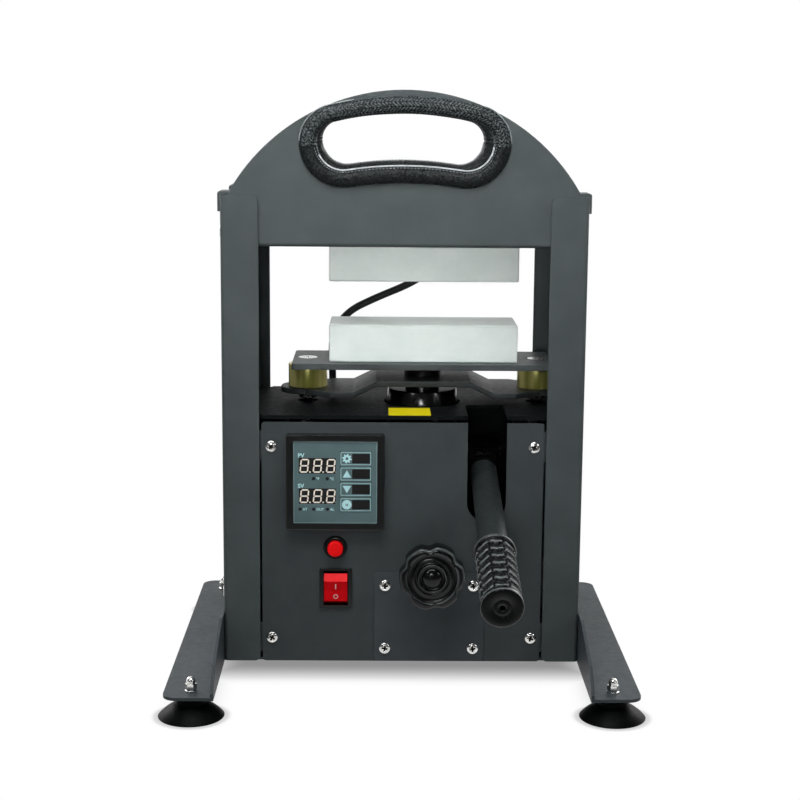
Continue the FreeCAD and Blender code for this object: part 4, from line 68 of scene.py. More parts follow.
def mesh_piece(name, points, faces, look, smooth=True):
    """Make a mesh with its finish."""
    mesh = bpy.data.meshes.new(name)
    mesh.from_pydata([tuple(point) for point in points], [], faces)
    mesh.update()
    mesh.polygons.foreach_set("use_smooth", [smooth] * len(mesh.polygons))
    mesh.materials.append(looks[look])
    made = bpy.data.objects.new(name, mesh)
    scene.collection.objects.link(made)
    return made


def piece_of(name, points, faces, look, body, smooth=True):
    """Make a mesh piece that rides on a body."""
    made = mesh_piece(name, points, faces, look, smooth)
    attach(made, body)
    return made


def sharpen(made, degrees):
    made.data.set_sharp_from_angle(angle=math.radians(degrees))
    return made


def shade_points(made, values):
    """Write how pale each point of a piece is painted, which its material reads: its painted highlights and
    painted shade.
    """
    made.data.attributes.new("shade", "FLOAT", "POINT").data.foreach_set("value", values)


def turns(count):
    """List a full round in equal turns, in radians."""
    return [2 * math.pi * step / count for step in range(count)]


def grid_faces(rows, columns, close_rows, close_columns, start=0):
    """List the quads of a grid of points, row by row, closed along either way."""
    faces = []
    for row in range(rows if close_rows else rows - 1):
        after = (row + 1) % rows
        for column in range(columns if close_columns else columns - 1):
            beside = (column + 1) % columns
            faces.append((start + row * columns + column, start + row * columns + beside,
                          start + after * columns + beside, start + after * columns + column))
    return faces


def capped_faces(rows, sides, start=0):
    """List the quads of a tube's rings, and its two end faces."""
    faces = grid_faces(rows, sides, False, True, start)
    faces.append(tuple(start + side for side in reversed(range(sides))))
    faces.append(tuple(start + (rows - 1) * sides + side for side in range(sides)))
    return faces


class Collector:
    """Gathers points and faces of several small shapes for one piece."""

    def __init__(self):
        self.points = []
        self.faces = []

    def add(self, points, faces):
        start = len(self.points)
        self.points.extend(points)
        self.faces.extend(tuple(start + number for number in face) for face in faces)

    def slab(self, outline, front, depth):
        """Add a flat shape in the XZ plane, from its outline, its front and its depth."""
        count = len(outline)
        points = [(x, front, z) for x, z in outline] + [(x, front + depth, z) for x, z in outline]
        faces = [tuple(range(count)), tuple(reversed(range(count, 2 * count)))]
        for index in range(count):
            beside = (index + 1) % count
            faces.append((index, index + count, beside + count, beside))
        self.add(points, faces)

    def band(self, outer, inner, front, depth):
        """Add a flat ring in the XZ plane between two outlines of as many points."""
        count = len(outer)
        rings = [[(x, y, z) for x, z in outline] for outline, y in
                 ((outer, front), (inner, front), (inner, front + depth), (outer, front + depth))]
        self.add([point for ring in rings for point in ring], grid_faces(4, count, True, True))

    def made(self, name, look, body, slot, smooth=False):
        return piece_of(name, self.points, self.faces, look, body, smooth)


def arc_points(centre, radius, start, end, count):
    """Give points of an arc, from a start to an end in degrees."""
    points = []
    for index in range(count):
        turn = math.radians(start + (end - start) * index / (count - 1))
        points.append((centre[0] + radius * math.cos(turn), centre[1] + radius * math.sin(turn)))
    return points


def round_box(x, z, width, height, radius, count=6):
    """Give the outline of a rectangle with round corners about a middle."""
    points = []
    for right, up, start in ((1, 1, 0), (-1, 1, 90), (-1, -1, 180), (1, -1, 270)):
        corner = (x + right * (width / 2 - radius), z + up * (height / 2 - radius))
        points += arc_points(corner, radius, start, start + 90, count)
    return points


def disc(x, z, radius, count=24):
    return [(x + radius * math.cos(turn), z + radius * math.sin(turn)) for turn in turns(count)]


# Finishes

def rgb(red, green, blue):
    """Turn the three values of a screen colour, 0 to 255, into linear light."""
    def linear(value):
        share = value / 255
        return share / 12.92 if share <= 0.04045 else ((share + 0.055) / 1.055) ** 2.4
    return (linear(red), linear(green), linear(blue), 1.0)


def grey(level):
    """Give a grey in linear light, 0 to 1."""
    return (level, level, level, 1)


def add_node(tree, kind, inputs, **settings):
    """Add a shader node with its settings, then set or link its inputs, by name or by number."""
    node = tree.nodes.new("ShaderNode" + kind)
    for name, value in settings.items():
        setattr(node, name, value)
    for socket, value in inputs.items():
        if isinstance(value, bpy.types.NodeSocket):
            tree.links.new(value, node.inputs[socket])
        else:
            node.inputs[socket].default_value = value
    return node


def mixed(tree, factor, low, high):
    """Mix two colours by a factor."""
    return add_node(tree, "Mix", {"A": low, "B": high, "Factor": factor}, data_type="RGBA").outputs["Result"]


def map_range(tree, value, first, last, low, high, **settings):
    """Turn a value from one range into another."""
    inputs = {"Value": value, "From Min": first, "From Max": last, "To Min": low, "To Max": high}
    return add_node(tree, "MapRange", inputs, **settings).outputs["Result"]


def maths(tree, operation, *values):
    """Add a maths node whose inputs are numbers or sockets, and give its output."""
    return add_node(tree, "Math", dict(enumerate(values)), operation=operation).outputs[0]


class Finish:
    """A material whose colour, roughness and relief vary with noise in the piece's own space."""

    def __init__(self, name, roughness, metallic=0.0, specular=0.2):
        self.material = bpy.data.materials.new(name)
        self.material.use_nodes = True
        self.tree = self.material.node_tree
        self.shader = self.tree.nodes["Principled BSDF"]
        self.shader.inputs["Roughness"].default_value = roughness
        self.shader.inputs["Metallic"].default_value = metallic
        self.shader.inputs["Specular IOR Level"].default_value = specular
        self.space = add_node(self.tree, "TexCoord", {}).outputs["Object"]
        self.relief = None

    def noise(self, scale, detail=3.0, stretch=None, rough=0.5):
        """Give a noise value; the scale is in features a metre, and stretch weighs the axes."""
        space = self.space
        if stretch:
            space = add_node(self.tree, "Mapping", {"Scale": stretch, "Vector": space}).outputs["Vector"]
        inputs = {"Scale": scale, "Detail": detail, "Roughness": rough, "Vector": space}
        return add_node(self.tree, "TexNoise", inputs).outputs["Fac"]

    def cells(self, scale):
        return add_node(self.tree, "TexVoronoi", {"Scale": scale, "Vector": self.space}).outputs["Distance"]

    def shade(self):
        """Read how pale each point of the piece is painted: its painted highlights and painted shade."""
        return add_node(self.tree, "Attribute", {}, attribute_name="shade").outputs["Fac"]

    def colour(self, value, low, high, first=0.3, last=0.7):
        """Mix two colours by a value."""
        factor = map_range(self.tree, value, first, last, 0.0, 1.0)
        self.tree.links.new(mixed(self.tree, factor, low, high), self.shader.inputs["Base Color"])

    def rough(self, value, low, high):
        self.tree.links.new(map_range(self.tree, value, 0.3, 0.7, low, high), self.shader.inputs["Roughness"])

    def bump(self, value, depth, strength):
        """Raise the surface by a value, over any relief that is there already."""
        inputs = {"Strength": strength, "Distance": depth, "Height": value}
        if self.relief is not None:
            inputs["Normal"] = self.relief
        self.relief = add_node(self.tree, "Bump", inputs).outputs["Normal"]
        self.tree.links.new(self.relief, self.shader.inputs["Normal"])


def powder_coat(name, low, high, roughness, specular=0.2):
    """Satin powder coat with a fine orange-peel relief and faint cloudiness."""
    made = Finish(name, roughness, specular=specular)
    made.colour(made.noise(35, 4), rgb(*low), rgb(*high))
    made.rough(made.noise(220), roughness - 0.05, roughness + 0.06)
    made.bump(made.noise(1500, 2), 0.00012, 0.55)
    made.bump(made.noise(420, 2), 0.0002, 0.18)
    return made.material


def brushed(name, low, high, roughness, stretch):
    """Metal with fine lines along the axis of the smallest stretch."""
    made = Finish(name, roughness, 1.0)
    lines = made.noise(900, 4, stretch, 0.65)
    made.colour(made.noise(160, 3, stretch), low, high)
    made.rough(lines, roughness - 0.07, roughness + 0.09)
    made.bump(lines, 0.00006, 0.5)
    return made.material


def moulded(name, low, high, roughness, grain=900, depth=0.00008, specular=0.2):
    """Moulded plastic or rubber with a fine grain."""
    made = Finish(name, roughness, specular=specular)
    made.colour(made.noise(90), rgb(*low), rgb(*high))
    made.rough(made.noise(260), roughness - 0.05, roughness + 0.06)
    made.bump(made.noise(grain, 3), depth, 0.6)
    return made.material


def plated(name, low, high, roughness):
    """Plated steel with faint handling marks."""
    made = Finish(name, roughness, 1.0)
    made.colour(made.noise(300), low, high)
    made.rough(made.noise(700), roughness - 0.03, roughness + 0.07)
    made.bump(made.noise(500), 0.00004, 0.3)
    return made.material


def edged(name, low, high, roughness, grain, depth, specular):
    """Black plastic or rubber, paler where the piece's shade attribute marks an edge: a painted highlight."""
    made = Finish(name, roughness, specular=specular)
    made.colour(made.shade(), rgb(*low), rgb(*high), 0.0, 1.0)
    made.rough(made.noise(260), roughness - 0.04, roughness + 0.06)
    made.bump(made.noise(grain, 3), depth, 0.6)
    return made.material


def leather(name, low, high, roughness):
    """Black leather with pebbled grain, paler where the piece's shade attribute paints highlights and darker
    where it paints shade, broken up by a speckle of painted glints.
    """
    made = Finish(name, roughness, specular=0.14)
    # The speckle paints glints on the pebbled grain, over the painted highlights and shade of the shade
    # attribute
    speckle = map_range(made.tree, made.noise(800, 2), 0.42, 0.6, 0.2, 1.6)
    wear_and_painted_light = maths(made.tree, "MULTIPLY", made.shade(), speckle)
    made.colour(wear_and_painted_light, rgb(*low), rgb(*high), 0.0, 1.0)
    made.rough(made.noise(180), roughness - 0.08, roughness + 0.1)
    made.bump(made.cells(560), 0.0008, 0.6)
    made.bump(made.noise(1300, 2), 0.0003, 0.5)
    made.bump(made.noise(120, 3), 0.0004, 0.2)
    return made.material


def platen_look(name, low, high):
    """Pale machined aluminium with fine lines along the platen and a faint clouding."""
    made = Finish(name, 0.36, 0.12)
    lines = made.noise(1000, 4, (0.03, 1, 1), 0.6)
    made.colour(made.noise(30, 4, (1, 1, 1.6), 0.6), rgb(*low), rgb(*high))
    made.rough(lines, 0.3, 0.46)
    made.bump(lines, 0.00008, 0.6)
    return made.material


def bolt_look(name, low, high):
    """Plated bolts: bright heads above the carrier plate, and ends below it painted near black: a painted
    shade under the plate.
    """
    made = Finish(name, 0.24, 1.0)
    height = add_node(made.tree, "SeparateXYZ", {0: made.space}).outputs["Z"]
    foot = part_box("carrier_plate")[0].z
    made.colour(height, low, high, foot, foot + 1 * MM)
    made.rough(made.noise(700), 0.22, 0.32)
    made.bump(made.noise(500), 0.00004, 0.3)
    return made.material


def zinc_look(name, low, high):
    """Yellow zinc over turned steel: greenish gold, in upright pale and dark bands that are painted
    reflections, with fine turning rings.
    """
    made = Finish(name, 0.27, 0.4, specular=0.5)
    # Upright bands of paler and darker colour: painted reflections
    made.colour(made.noise(95, 1, (1, 1, 0.02)), rgb(*low), rgb(*high), 0.4, 0.6)
    made.rough(made.noise(1500, 2, (0.02, 0.02, 1)), 0.262, 0.272)
    return made.material


def film_look(name, low, high):
    """Printed film on the controller's front, under a satin lacquer."""
    made = Finish(name, 0.34, specular=0.3)
    made.colour(made.noise(42, 2), rgb(*low), rgb(*high))
    made.rough(made.noise(600), 0.3, 0.4)
    made.bump(made.noise(1800, 2), 0.00002, 0.35)
    return made.material


def print_look(name, low, high, glow=0.0):
    """A pale print, or a lit segment that is faintly bright by itself; a glow on a pale print is painted
    light.
    """
    made = Finish(name, 0.4)
    made.colour(made.noise(900), rgb(*low), rgb(*high))
    if glow:
        made.shader.inputs["Emission Color"].default_value = rgb(*high)
        made.shader.inputs["Emission Strength"].default_value = glow
    return made.material


# Each maker's finishes: the darker and the paler colour, as screen colours or, with four values, in linear
# light, then the rest of what the maker takes, with the roughness first where it takes one
LOOKS = (
    (powder_coat, {
        "frame_paint": ((66, 73, 74), (74, 81, 82), 0.5),
        "panel_paint": ((56, 62, 64), (63, 69, 71), 0.48),
        # A near black copy of the panel's paint, on the top plate and rear panel: painted shade under the
        # carriage and inside the cabinet
        "top_paint": ((14, 17, 18), (20, 23, 24), 0.55, 0.03),
        "leg_paint": ((59, 65, 69), (66, 73, 77), 0.5),
        "cover_paint": ((62, 68, 71), (69, 75, 79), 0.48),
        "carriage_paint": ((60, 65, 66), (70, 76, 77), 0.44),
        # A darker copy of the frame's grey on the lift strap: painted shade under the carrier
        "strap_paint": ((35, 39, 39), (43, 48, 48), 0.46),
        "lever_paint": ((38, 43, 44), (46, 51, 52), 0.4),
    }),
    # The leather's paler colour is painted highlight on the braid's crests and its worn patch
    (leather, {"handle_leather": ((1, 2, 2), (90, 98, 100), 0.32)}),
    (moulded, {
        # The pale piping and seam colours are painted highlights on black leather beads
        "piping_leather": ((112, 118, 120), (150, 156, 158), 0.3, 900, 0.00005, 0.4),
        "seam_leather": ((150, 156, 160), (196, 201, 204), 0.3, 900, 0.00005, 0.4),
        "thread": ((104, 110, 114), (140, 146, 150), 0.45, 2500),
        "cup_rubber": ((5, 6, 6), (9, 11, 11), 0.42, 700, 0.00006, 0.04),
        "lead_rubber": ((12, 14, 16), (20, 23, 25), 0.42, 1200),
        "black_plastic": ((5, 5, 6), (9, 10, 10), 0.17, 1500, 0.00003, 0.3),
        "controller_plastic": ((9, 11, 12), (12, 14, 15), 0.16, 900, 0.000002, 0.7),
        "rocker_plastic": ((228, 6, 18), (246, 12, 26), 0.36, 500, 0.00003, 0.08),
        "button_plastic": ((248, 12, 18), (255, 22, 26), 0.3, 500, 0.00003, 0.12),
        "pad_board": ((150, 148, 132), (178, 175, 158), 0.8, 500, 0.0003),
        "sticker_film": ((222, 206, 12), (240, 224, 28), 0.35, 400, 0.00003),
        "jack_steel": ((6, 6, 7), (12, 12, 13), 0.35, 700, 0.00006, 0.15),
        # Near black, so that the bracket and lever socket in the cabinet's slot look unlit: painted shade
        "lever_steel": ((3, 3, 3), (6, 6, 6), 0.5, 900, 0.00004, 0.05),
        # The recesses' black is painted shade
        "recess_black": ((10, 10, 10), (18, 17, 16), 0.6, 900, 0.00004, 0.1),
        "jack_iron": ((12, 13, 14), (20, 22, 23), 0.5, 500, 0.0004, 0.1),
        "nut_black": ((4, 4, 5), (7, 7, 8), 0.16, 400, 0.00005, 0.3),
    }),
    # The paler colours are painted highlights on the grip's scales and the knob's rims and rings
    (edged, {
        "grip_rubber": ((5, 7, 7), (140, 148, 148), 0.27, 1300, 0.00006, 0.3),
        "knob_plastic": ((3, 4, 4), (100, 108, 108), 0.16, 1500, 0.00003, 0.3),
    }),
    (plated, {
        "bright_steel": ((0.5, 0.5, 0.48, 1), (0.82, 0.82, 0.8, 1), 0.15),
        "ram_chrome": ((0.02, 0.02, 0.022, 1), (0.05, 0.05, 0.052, 1), 0.22),
    }),
    (brushed, {
        "heater_steel": ((0.3, 0.28, 0.25, 1), (0.5, 0.48, 0.45, 1), 0.32, (1, 0.05, 1)),
        "spring_steel": ((0.16, 0.16, 0.17, 1), (0.3, 0.3, 0.31, 1), 0.34, (0.2, 0.2, 1)),
    }),
    # The darker colour is painted shade on the bolts' ends under the carrier plate
    (bolt_look, {"socket_steel": (grey(0.03), (0.7, 0.7, 0.69, 1))}),
    (platen_look, {"platen_aluminium": ((216, 226, 222), (228, 235, 232))}),
    # The spread between the two colours is painted reflection in upright bands
    (zinc_look, {"yellow_zinc": ((132, 130, 56), (246, 236, 152))}),
    (film_look, {
        "controller_panel": ((80, 103, 105), (90, 113, 116)),
        "window_black": ((12, 11, 11), (20, 17, 18)),
    }),
    (print_look, {
        # The pale print's faint glow is painted light
        "print_pale": ((176, 222, 224), (196, 236, 238), 0.03),
        "print_outline": ((142, 180, 182), (160, 196, 198)),
        "rim_print": ((120, 142, 144), (136, 158, 160)),
        "digit_white": ((232, 224, 208), (244, 236, 222), 0.12),
        "legend_pale": ((240, 190, 190), (250, 212, 212)),
    }),
)
NODE_LOOKS = {
    "frame_paint": "left_post right_post base_beam head_beam bottom_cover head_front_plate head_rear_plate "
                   "tie_straps",
    "leg_paint": "left_leg right_leg",
    "panel_paint": "front_panel cabinet_brackets",
    "cover_paint": "service_cover",
    "top_paint": "top_plate rear_panel",
    "carriage_paint": "carrier_plate",
    "strap_paint": "lift_strap",
    "platen_aluminium": "upper_platen lower_platen upper_lead_box",
    "yellow_zinc": "lift_spacers",
    "bright_steel": "frame_bolts foot_cap_nuts",
    "socket_steel": "carriage_bolts",
    "heater_steel": "upper_heaters lower_heaters",
    "pad_board": "insulating_pad",
    "black_plastic": "lead_glands power_inlet rocker_housing button_body",
    "controller_plastic": "controller_case",
    "controller_panel": "controller_face menu_key raise_key reduce_key standby_key",
    "jack_iron": "jack_base",
    "jack_steel": "jack_tubes pump_body ram_saddle release_shaft fulcrum_pin pump_pin",
    "nut_black": "jack_top_nut",
    "lever_steel": "fulcrum_bracket lever_socket",
    "lever_paint": "lever_tube",
    "ram_chrome": "ram pump_plunger",
    "rocker_plastic": "rocker",
    "button_plastic": "button_cap",
}
EDGE_ROUND = {                 # widths of rounded edges, in millimetres
    0.2: "carriage_bolts",
    0.25: "foot_cap_nuts",
    0.3: "button_body frame_bolts upper_lead_box",
    0.35: "front_panel service_cover rear_panel",
    0.4: "tie_straps",
    0.5: "left_post right_post left_leg right_leg rocker_housing rocker lift_spacers power_inlet head_beam "
         "fulcrum_bracket",
    0.6: "head_front_plate head_rear_plate top_plate carrier_plate base_beam lever_socket",
    0.7: "controller_case",
    0.8: "jack_top_nut",
    0.9: "lift_strap",
    1.0: "jack_base",
}


def round_edges(made, width):
    """Round a node's hard edges with modifiers, after its flat faces are joined."""
    join = made.modifiers.new("join", "WELD")
    join.merge_threshold = 0.000002
    flatten = made.modifiers.new("flatten", "DECIMATE")
    flatten.decimate_type = "DISSOLVE"
    flatten.angle_limit = math.radians(1.0)
    step = made.modifiers.new("edge_round", "BEVEL")
    step.width = width
    step.segments = 3
    step.limit_method = "ANGLE"
    step.angle_limit = math.radians(32)
    step.harden_normals = False


def dress_nodes():
    """Give each CAD node its finish, and round the hard edges that show."""
    for look, names in NODE_LOOKS.items():
        for name in names.split():
            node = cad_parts[name]
            node.data.materials.clear()
            node.data.materials.append(looks[look])
    for width, names in EDGE_ROUND.items():
        for name in names.split():
            round_edges(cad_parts[name], width * MM)


looks = {name: maker(name, *values) for maker, rows in LOOKS for name, values in rows.items()}
dress_nodes()


# Carrying handles

GRIP_HALF = 74.9 * MM          # half width of the wrap's middle line
GRIP_TOP = 460.8 * MM
GRIP_SIDE = 431.5 * MM
GRIP_BASE = 407.8 * MM
GRIP_UPPER_TURN = math.radians(14)
GRIP_LOWER_TURN = math.radians(9)
GRIP_RADIUS = 7.3 * MM
WRAP_STEPS = 1080
WRAP_SIDES = 90
BRAID_PITCH = 2.8 * MM         # along the bar, from one braid strand to the next
BRAID_WAVE = 8.0 * MM          # across the bar, from one crest of the herringbone to the next
BRAID_REACH = 3.6 * MM
BRAID_HEIGHT = 0.62 * MM
SEAM_SHARE = 0.36              # place of the plain half's seam, as a share of the half round
WEAR_AND_SHEEN_PLACE = 66 * MM         # middle of the braid's worn patch, smoothed and given a painted sheen, along from the upper middle
WEAR_AND_SHEEN_REACH = 16 * MM


def handle_arcs():
    """Work out the six arcs of the wrap's middle line: centre, radius, start and end."""
    rise = GRIP_TOP - GRIP_SIDE
    fall = GRIP_SIDE - GRIP_BASE
    sine, cosine = math.sin(GRIP_UPPER_TURN), math.cos(GRIP_UPPER_TURN)
    cross = sine * cosine - (1 - sine) * (1 - cosine)
    top_radius = (GRIP_HALF * cosine - rise * (1 - sine)) / cross
    shoulder = (rise - top_radius * (1 - cosine)) / cosine
    low_sine, low_cosine = math.sin(GRIP_LOWER_TURN), math.cos(GRIP_LOWER_TURN)
    ratio = (1 - low_cosine) / low_sine
    corner = (fall + GRIP_HALF * ratio) / (low_cosine + ratio * (1 + low_sine))
    base_radius = (GRIP_HALF - corner * (1 + low_sine)) / low_sine
    quarter = math.pi / 2
    return [
        ((0.0, GRIP_TOP - top_radius), top_radius, quarter - GRIP_UPPER_TURN, quarter + GRIP_UPPER_TURN),
        ((shoulder - GRIP_HALF, GRIP_SIDE), shoulder, quarter + GRIP_UPPER_TURN, 2 * quarter),
        ((corner - GRIP_HALF, GRIP_SIDE), corner, 2 * quarter, 3 * quarter + GRIP_LOWER_TURN),
        ((0.0, GRIP_BASE - base_radius), -base_radius, quarter + GRIP_LOWER_TURN, quarter - GRIP_LOWER_TURN),
        ((GRIP_HALF - corner, GRIP_SIDE), corner, 3 * quarter - GRIP_LOWER_TURN, 4 * quarter),
        ((GRIP_HALF - shoulder, GRIP_SIDE), shoulder, 0.0, quarter - GRIP_UPPER_TURN),
    ]


def handle_line():
    """List points of the middle line, evenly spaced, with the outward way and the length so far."""
    arcs = handle_arcs()
    lengths = [abs(radius * (end - start)) for centre, radius, start, end in arcs]
    total = sum(lengths)
    line = []
    for step in range(WRAP_STEPS):
        here = total * step / WRAP_STEPS
        left = here
        number = 0
        while left > lengths[number]:
            left -= lengths[number]
            number += 1
        centre, radius, start, end = arcs[number]
        turn = start + (end - start) * left / lengths[number]
        way = 1 if radius > 0 else -1
        outward = (way * math.cos(turn), way * math.sin(turn))
        spot = (centre[0] + abs(radius) * math.cos(turn), centre[1] + abs(radius) * math.sin(turn))
        line.append((spot, outward, here))
    return line, total, lengths


def smooth_step(value, low, high):
    share = min(1.0, max(0.0, (value - low) / (high - low)))
    return share * share * (3 - 2 * share)


def ridge(value):
    """Give the rounded profile of one braid strand over a whole number of strands."""
    share = value - math.floor(value)
    return math.sqrt(max(0.0, 1 - (2 * share - 1) ** 2))


def wrap_relief(along, across, upper, seam_gap):
    """Work out how far a point of the wrap stands proud of its bar, and how pale it is painted: a painted
    highlight on each braid crest and painted shade in the tucks between strands.

    along is the length from the upper middle, across the way round the bar from its front towards
    the outside, upper 1 on the braided half, and seam_gap the distance from the nearest joint.
    """
    half_round = math.pi * GRIP_RADIUS
    front = smooth_step(half_round * 0.78 - abs(across), 0, 2.5 * MM)
    share = (across / BRAID_WAVE + 0.18) % 1
    wave = abs(share * 2 - 1) * BRAID_REACH
    strand = ridge((along + wave) / BRAID_PITCH)
    tuck = 1 - smooth_step(min(share, 1 - share, abs(share - 0.5)), 0.0, 0.09)
    lift = upper * front * ((strand - 0.75) * BRAID_HEIGHT - 0.22 * MM * tuck)
    # Painted highlight on the crest of each strand, and painted shade in the tucks between strands
    shade = 0.12 + upper * front * (0.94 * smooth_step(strand, 0.6, 1.0) * (1 - tuck) - 0.11)
    # A piped seam along the inside edge of the plain half, seen from both faces of the handle
    if across < 0:
        from_seam = across + half_round * SEAM_SHARE
        lift += (1 - upper) * 0.5 * MM * math.exp(-(from_seam / (0.9 * MM)) ** 2)
        lift -= (1 - upper) * 0.45 * MM * math.exp(-((from_seam - 1.7 * MM) / (0.6 * MM)) ** 2)
    lift -= 0.4 * MM * math.exp(-(seam_gap / (0.55 * MM)) ** 2)
    lift += 0.25 * MM * math.exp(-((seam_gap - 1.8 * MM) / (1.1 * MM)) ** 2)
    # Slow swelling of the padding under the leather
    lift += 0.16 * MM * math.sin(along * 95 + 1.3) * math.sin(along * 41)
    return lift, shade


def handle_wrap(node, body):
    """Make the padded leather ring of a carrying handle, with its piping and stitches."""
    line, total, lengths = handle_line()
    back = middle(node).y
    facing = -1 if node.startswith("front") else 1
    # Joints at both sides, where the braided half ends, and at the lower middle
    upper_end = lengths[0] + lengths[1]
    low_middle = upper_end + lengths[2] + lengths[3] / 2
    other_end = total - lengths[5]
    joints = (upper_end, low_middle, other_end)
    points = []
    shades = []
    for spot, outward, here in line:
        from_top = here - lengths[0] / 2
        if from_top > total / 2:
            from_top -= total
        near_joint = min(abs(here - joint) for joint in joints)
        inside = upper_end + 2 * MM < here < other_end - 2 * MM
        upper = 0.0 if inside else 1.0
        for turn in turns(WRAP_SIDES):
            across = turn if turn <= math.pi else turn - 2 * math.pi
            arc = across * GRIP_RADIUS
            wear_and_painted_light = math.exp(-((from_top - WEAR_AND_SHEEN_PLACE) / WEAR_AND_SHEEN_REACH) ** 2)
            lift, shade = wrap_relief(from_top, arc, upper * (1 - 0.85 * wear_and_painted_light), near_joint)
            # The worn patch smooths the braid, and adds a painted sheen on the side that faces the front and
            # outward
            shades.append(shade + 0.3 * upper * wear_and_painted_light * max(0.0, math.cos(across - 0.35)))
            reach = GRIP_RADIUS - 0.5 * MM + lift
            out = math.sin(turn) * reach
            points.append((spot[0] + outward[0] * out, back + facing * math.cos(turn) * reach,
                           spot[1] + outward[1] * out))
    faces = grid_faces(WRAP_STEPS, WRAP_SIDES, True, True)
    if facing < 0:
        faces = [tuple(reversed(face)) for face in faces]
    wrap = piece_of(node + "_leather", points, faces, "handle_leather", body)
    shade_points(wrap, shades)
    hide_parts(node)
    stitch_row(node, line, (upper_end, other_end), back, facing, body)
    edge_piping(node, line, (upper_end, other_end), back, facing, body)


def capsule(start, end, radius, sides=8):
    """Give the points and faces of a short thread with round ends."""
    along = (end - start).normalized()
    side = along.orthogonal().normalized()
    other = along.cross(side)
    points = []
    rings = ((start - along * radius * 0.7, 0.25), (start, 1.0), (start.lerp(end, 0.5), 1.15), (end, 1.0),
             (end + along * radius * 0.7, 0.25))
    for centre, share in rings:
        for turn in turns(sides):
            points.append(centre + (side * math.cos(turn) + other * math.sin(turn)) * radius * share)
    return points, capped_faces(len(rings), sides)


def on_wrap(entry, back, facing, turn, proud):
    """Give the point of the wrap's surface at a way round the bar, raised by a little."""
    spot, outward = entry[:2]
    out = math.sin(turn) * (GRIP_RADIUS + proud)
    return Vector((spot[0] + outward[0] * out, back + facing * math.cos(turn) * (GRIP_RADIUS + proud),
                   spot[1] + outward[1] * out))


def stitch_row(node, line, span, back, facing, body):
    """Sew the plain half's seam: short threads beside the piping, on the face that shows."""
    gathered = Collector()
    every = 8
    long = 4
    for beside in (-0.3, 0.3):
        turn = -math.pi * SEAM_SHARE - beside
        for number in range(0, len(line) - long, every):
            if not span[0] + 4 * MM < line[number][2] < span[1] - 4 * MM:
                continue
            start = on_wrap(line[number], back, facing, turn, -0.35 * MM)
            end = on_wrap(line[number + long], back, facing, turn, -0.35 * MM)
            gathered.add(*capsule(start, end, 0.3 * MM))
    gathered.made(node + "_stitches", "thread", body, "handle_leather", True)


def bead(name, route, turn, proud, radius, look, back, facing, body):
    """Run a thin bead along a stretch of the wrap, at a way round the bar."""
    points = []
    sides = 8
    for entry in route:
        centre = on_wrap(entry, back, facing, turn, proud)
        outward = Vector((entry[1][0], 0, entry[1][1]))
        for way in turns(sides):
            points.append(centre + (outward * math.cos(way) + Vector((0, 1, 0)) * math.sin(way)) * radius)
    piece_of(name, points, capped_faces(len(route), sides), look, body)


def edge_piping(node, line, span, back, facing, body):
    """Pipe the outside of the braided half, where it meets the plate, and the plain half's seam, in pale
    colours that are painted highlights.
    """
    length = 50 * MM
    sides = {"left": [entry for entry in line if span[0] - length < entry[2] < span[0]],
             "right": [entry for entry in line if span[1] < entry[2] < span[1] + length]}
    edge_turn = math.radians(64)
    for name, route in sides.items():
        bead(node + "_" + name + "_piping", route[::3], edge_turn, 0.1 * MM, 0.5 * MM, "piping_leather",
             back, facing, body)
    seam = [entry for entry in line if span[0] + 12 * MM < entry[2] < span[1] - 3 * MM]
    bead(node + "_seam_piping", seam[::3], -math.pi * SEAM_SHARE, 0.15 * MM, 0.7 * MM, "seam_leather",
         back, facing, body)


handle_wrap("front_handle_wrap", "root")
handle_wrap("rear_handle_wrap", "root")


# Feet

CUP_RIM = 25.35                # radius of a suction cup, in millimetres


def foot_cups():
    """Four black suction cups: a thin flared rim, a round dome and a widening neck under the leg."""
    low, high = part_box("suction_cups")
    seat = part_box("left_leg")[0].z / MM
    rim = CUP_RIM
    dome_centre = (-2.79, -23.41)
    dome_radius = 37.12
    neck = 11.3
    inset = rim * MM
    spots = [(x, y) for x in (low.x + inset, high.x - inset) for y in (low.y + inset, high.y - inset)]
    profile = [(19.0, 2.2), (23.0, 0.55), (24.2, 0.0), (24.95, 0.08), (25.25, 0.4), (rim, 0.8)]
    for step in range(25):
        radius = rim + (neck - rim) * step / 24
        height = dome_centre[1] + math.sqrt(dome_radius ** 2 - (radius - dome_centre[0]) ** 2)
        profile.append((radius, height))
    low_neck = profile[-1][1]
    profile += [(neck + 0.1, low_neck + 0.5), (12.5, 16.0), (12.95, 16.9), (12.8, seat - 0.02),
                (2.6, seat - 0.02)]
    stud = [(2.5, seat - 0.02), (2.5, seat + 10.1), (2.2, seat + 10.5), (0.01, seat + 10.5)]
    cups = Collector()
    studs = Collector()
    steps = 72
    for x, y in spots:
        for shape, gathered in ((profile, cups), (stud, studs)):
            points = [(x + radius * MM * math.cos(turn), y + radius * MM * math.sin(turn), height * MM)
                      for radius, height in shape for turn in turns(steps)]
            gathered.add(points, grid_faces(len(shape), steps, False, True))
    made = sharpen(cups.made("suction_cups_rubber", "cup_rubber", "root", "cup_rubber", True), 60)
    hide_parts("suction_cups")
    sharpen(studs.made("foot_studs", "bright_steel", "root", "bright_steel", True), 40)


foot_cups()


# Lever grip

LEVER_TILT = math.radians(11)
LEVER_REACH = 287.3 * MM
GRIP_LENGTH = 87.6 * MM
DISC_LENGTH = 5.2 * MM         # of the disc at the grip's end
COLLAR_LENGTH = 6.4 * MM       # of the collar at the grip's other end
fulcrum = Vector((middle("lever_tube").x, middle("fulcrum_pin").y, middle("fulcrum_pin").z))


def on_lever(x, along, up):
    """Turn a place along the lever, ahead of its fulcrum, into the frame."""
    return Vector((fulcrum.x + x, fulcrum.y - along * math.cos(LEVER_TILT) - up * math.sin(LEVER_TILT),
                   fulcrum.z - along * math.sin(LEVER_TILT) + up * math.cos(LEVER_TILT)))


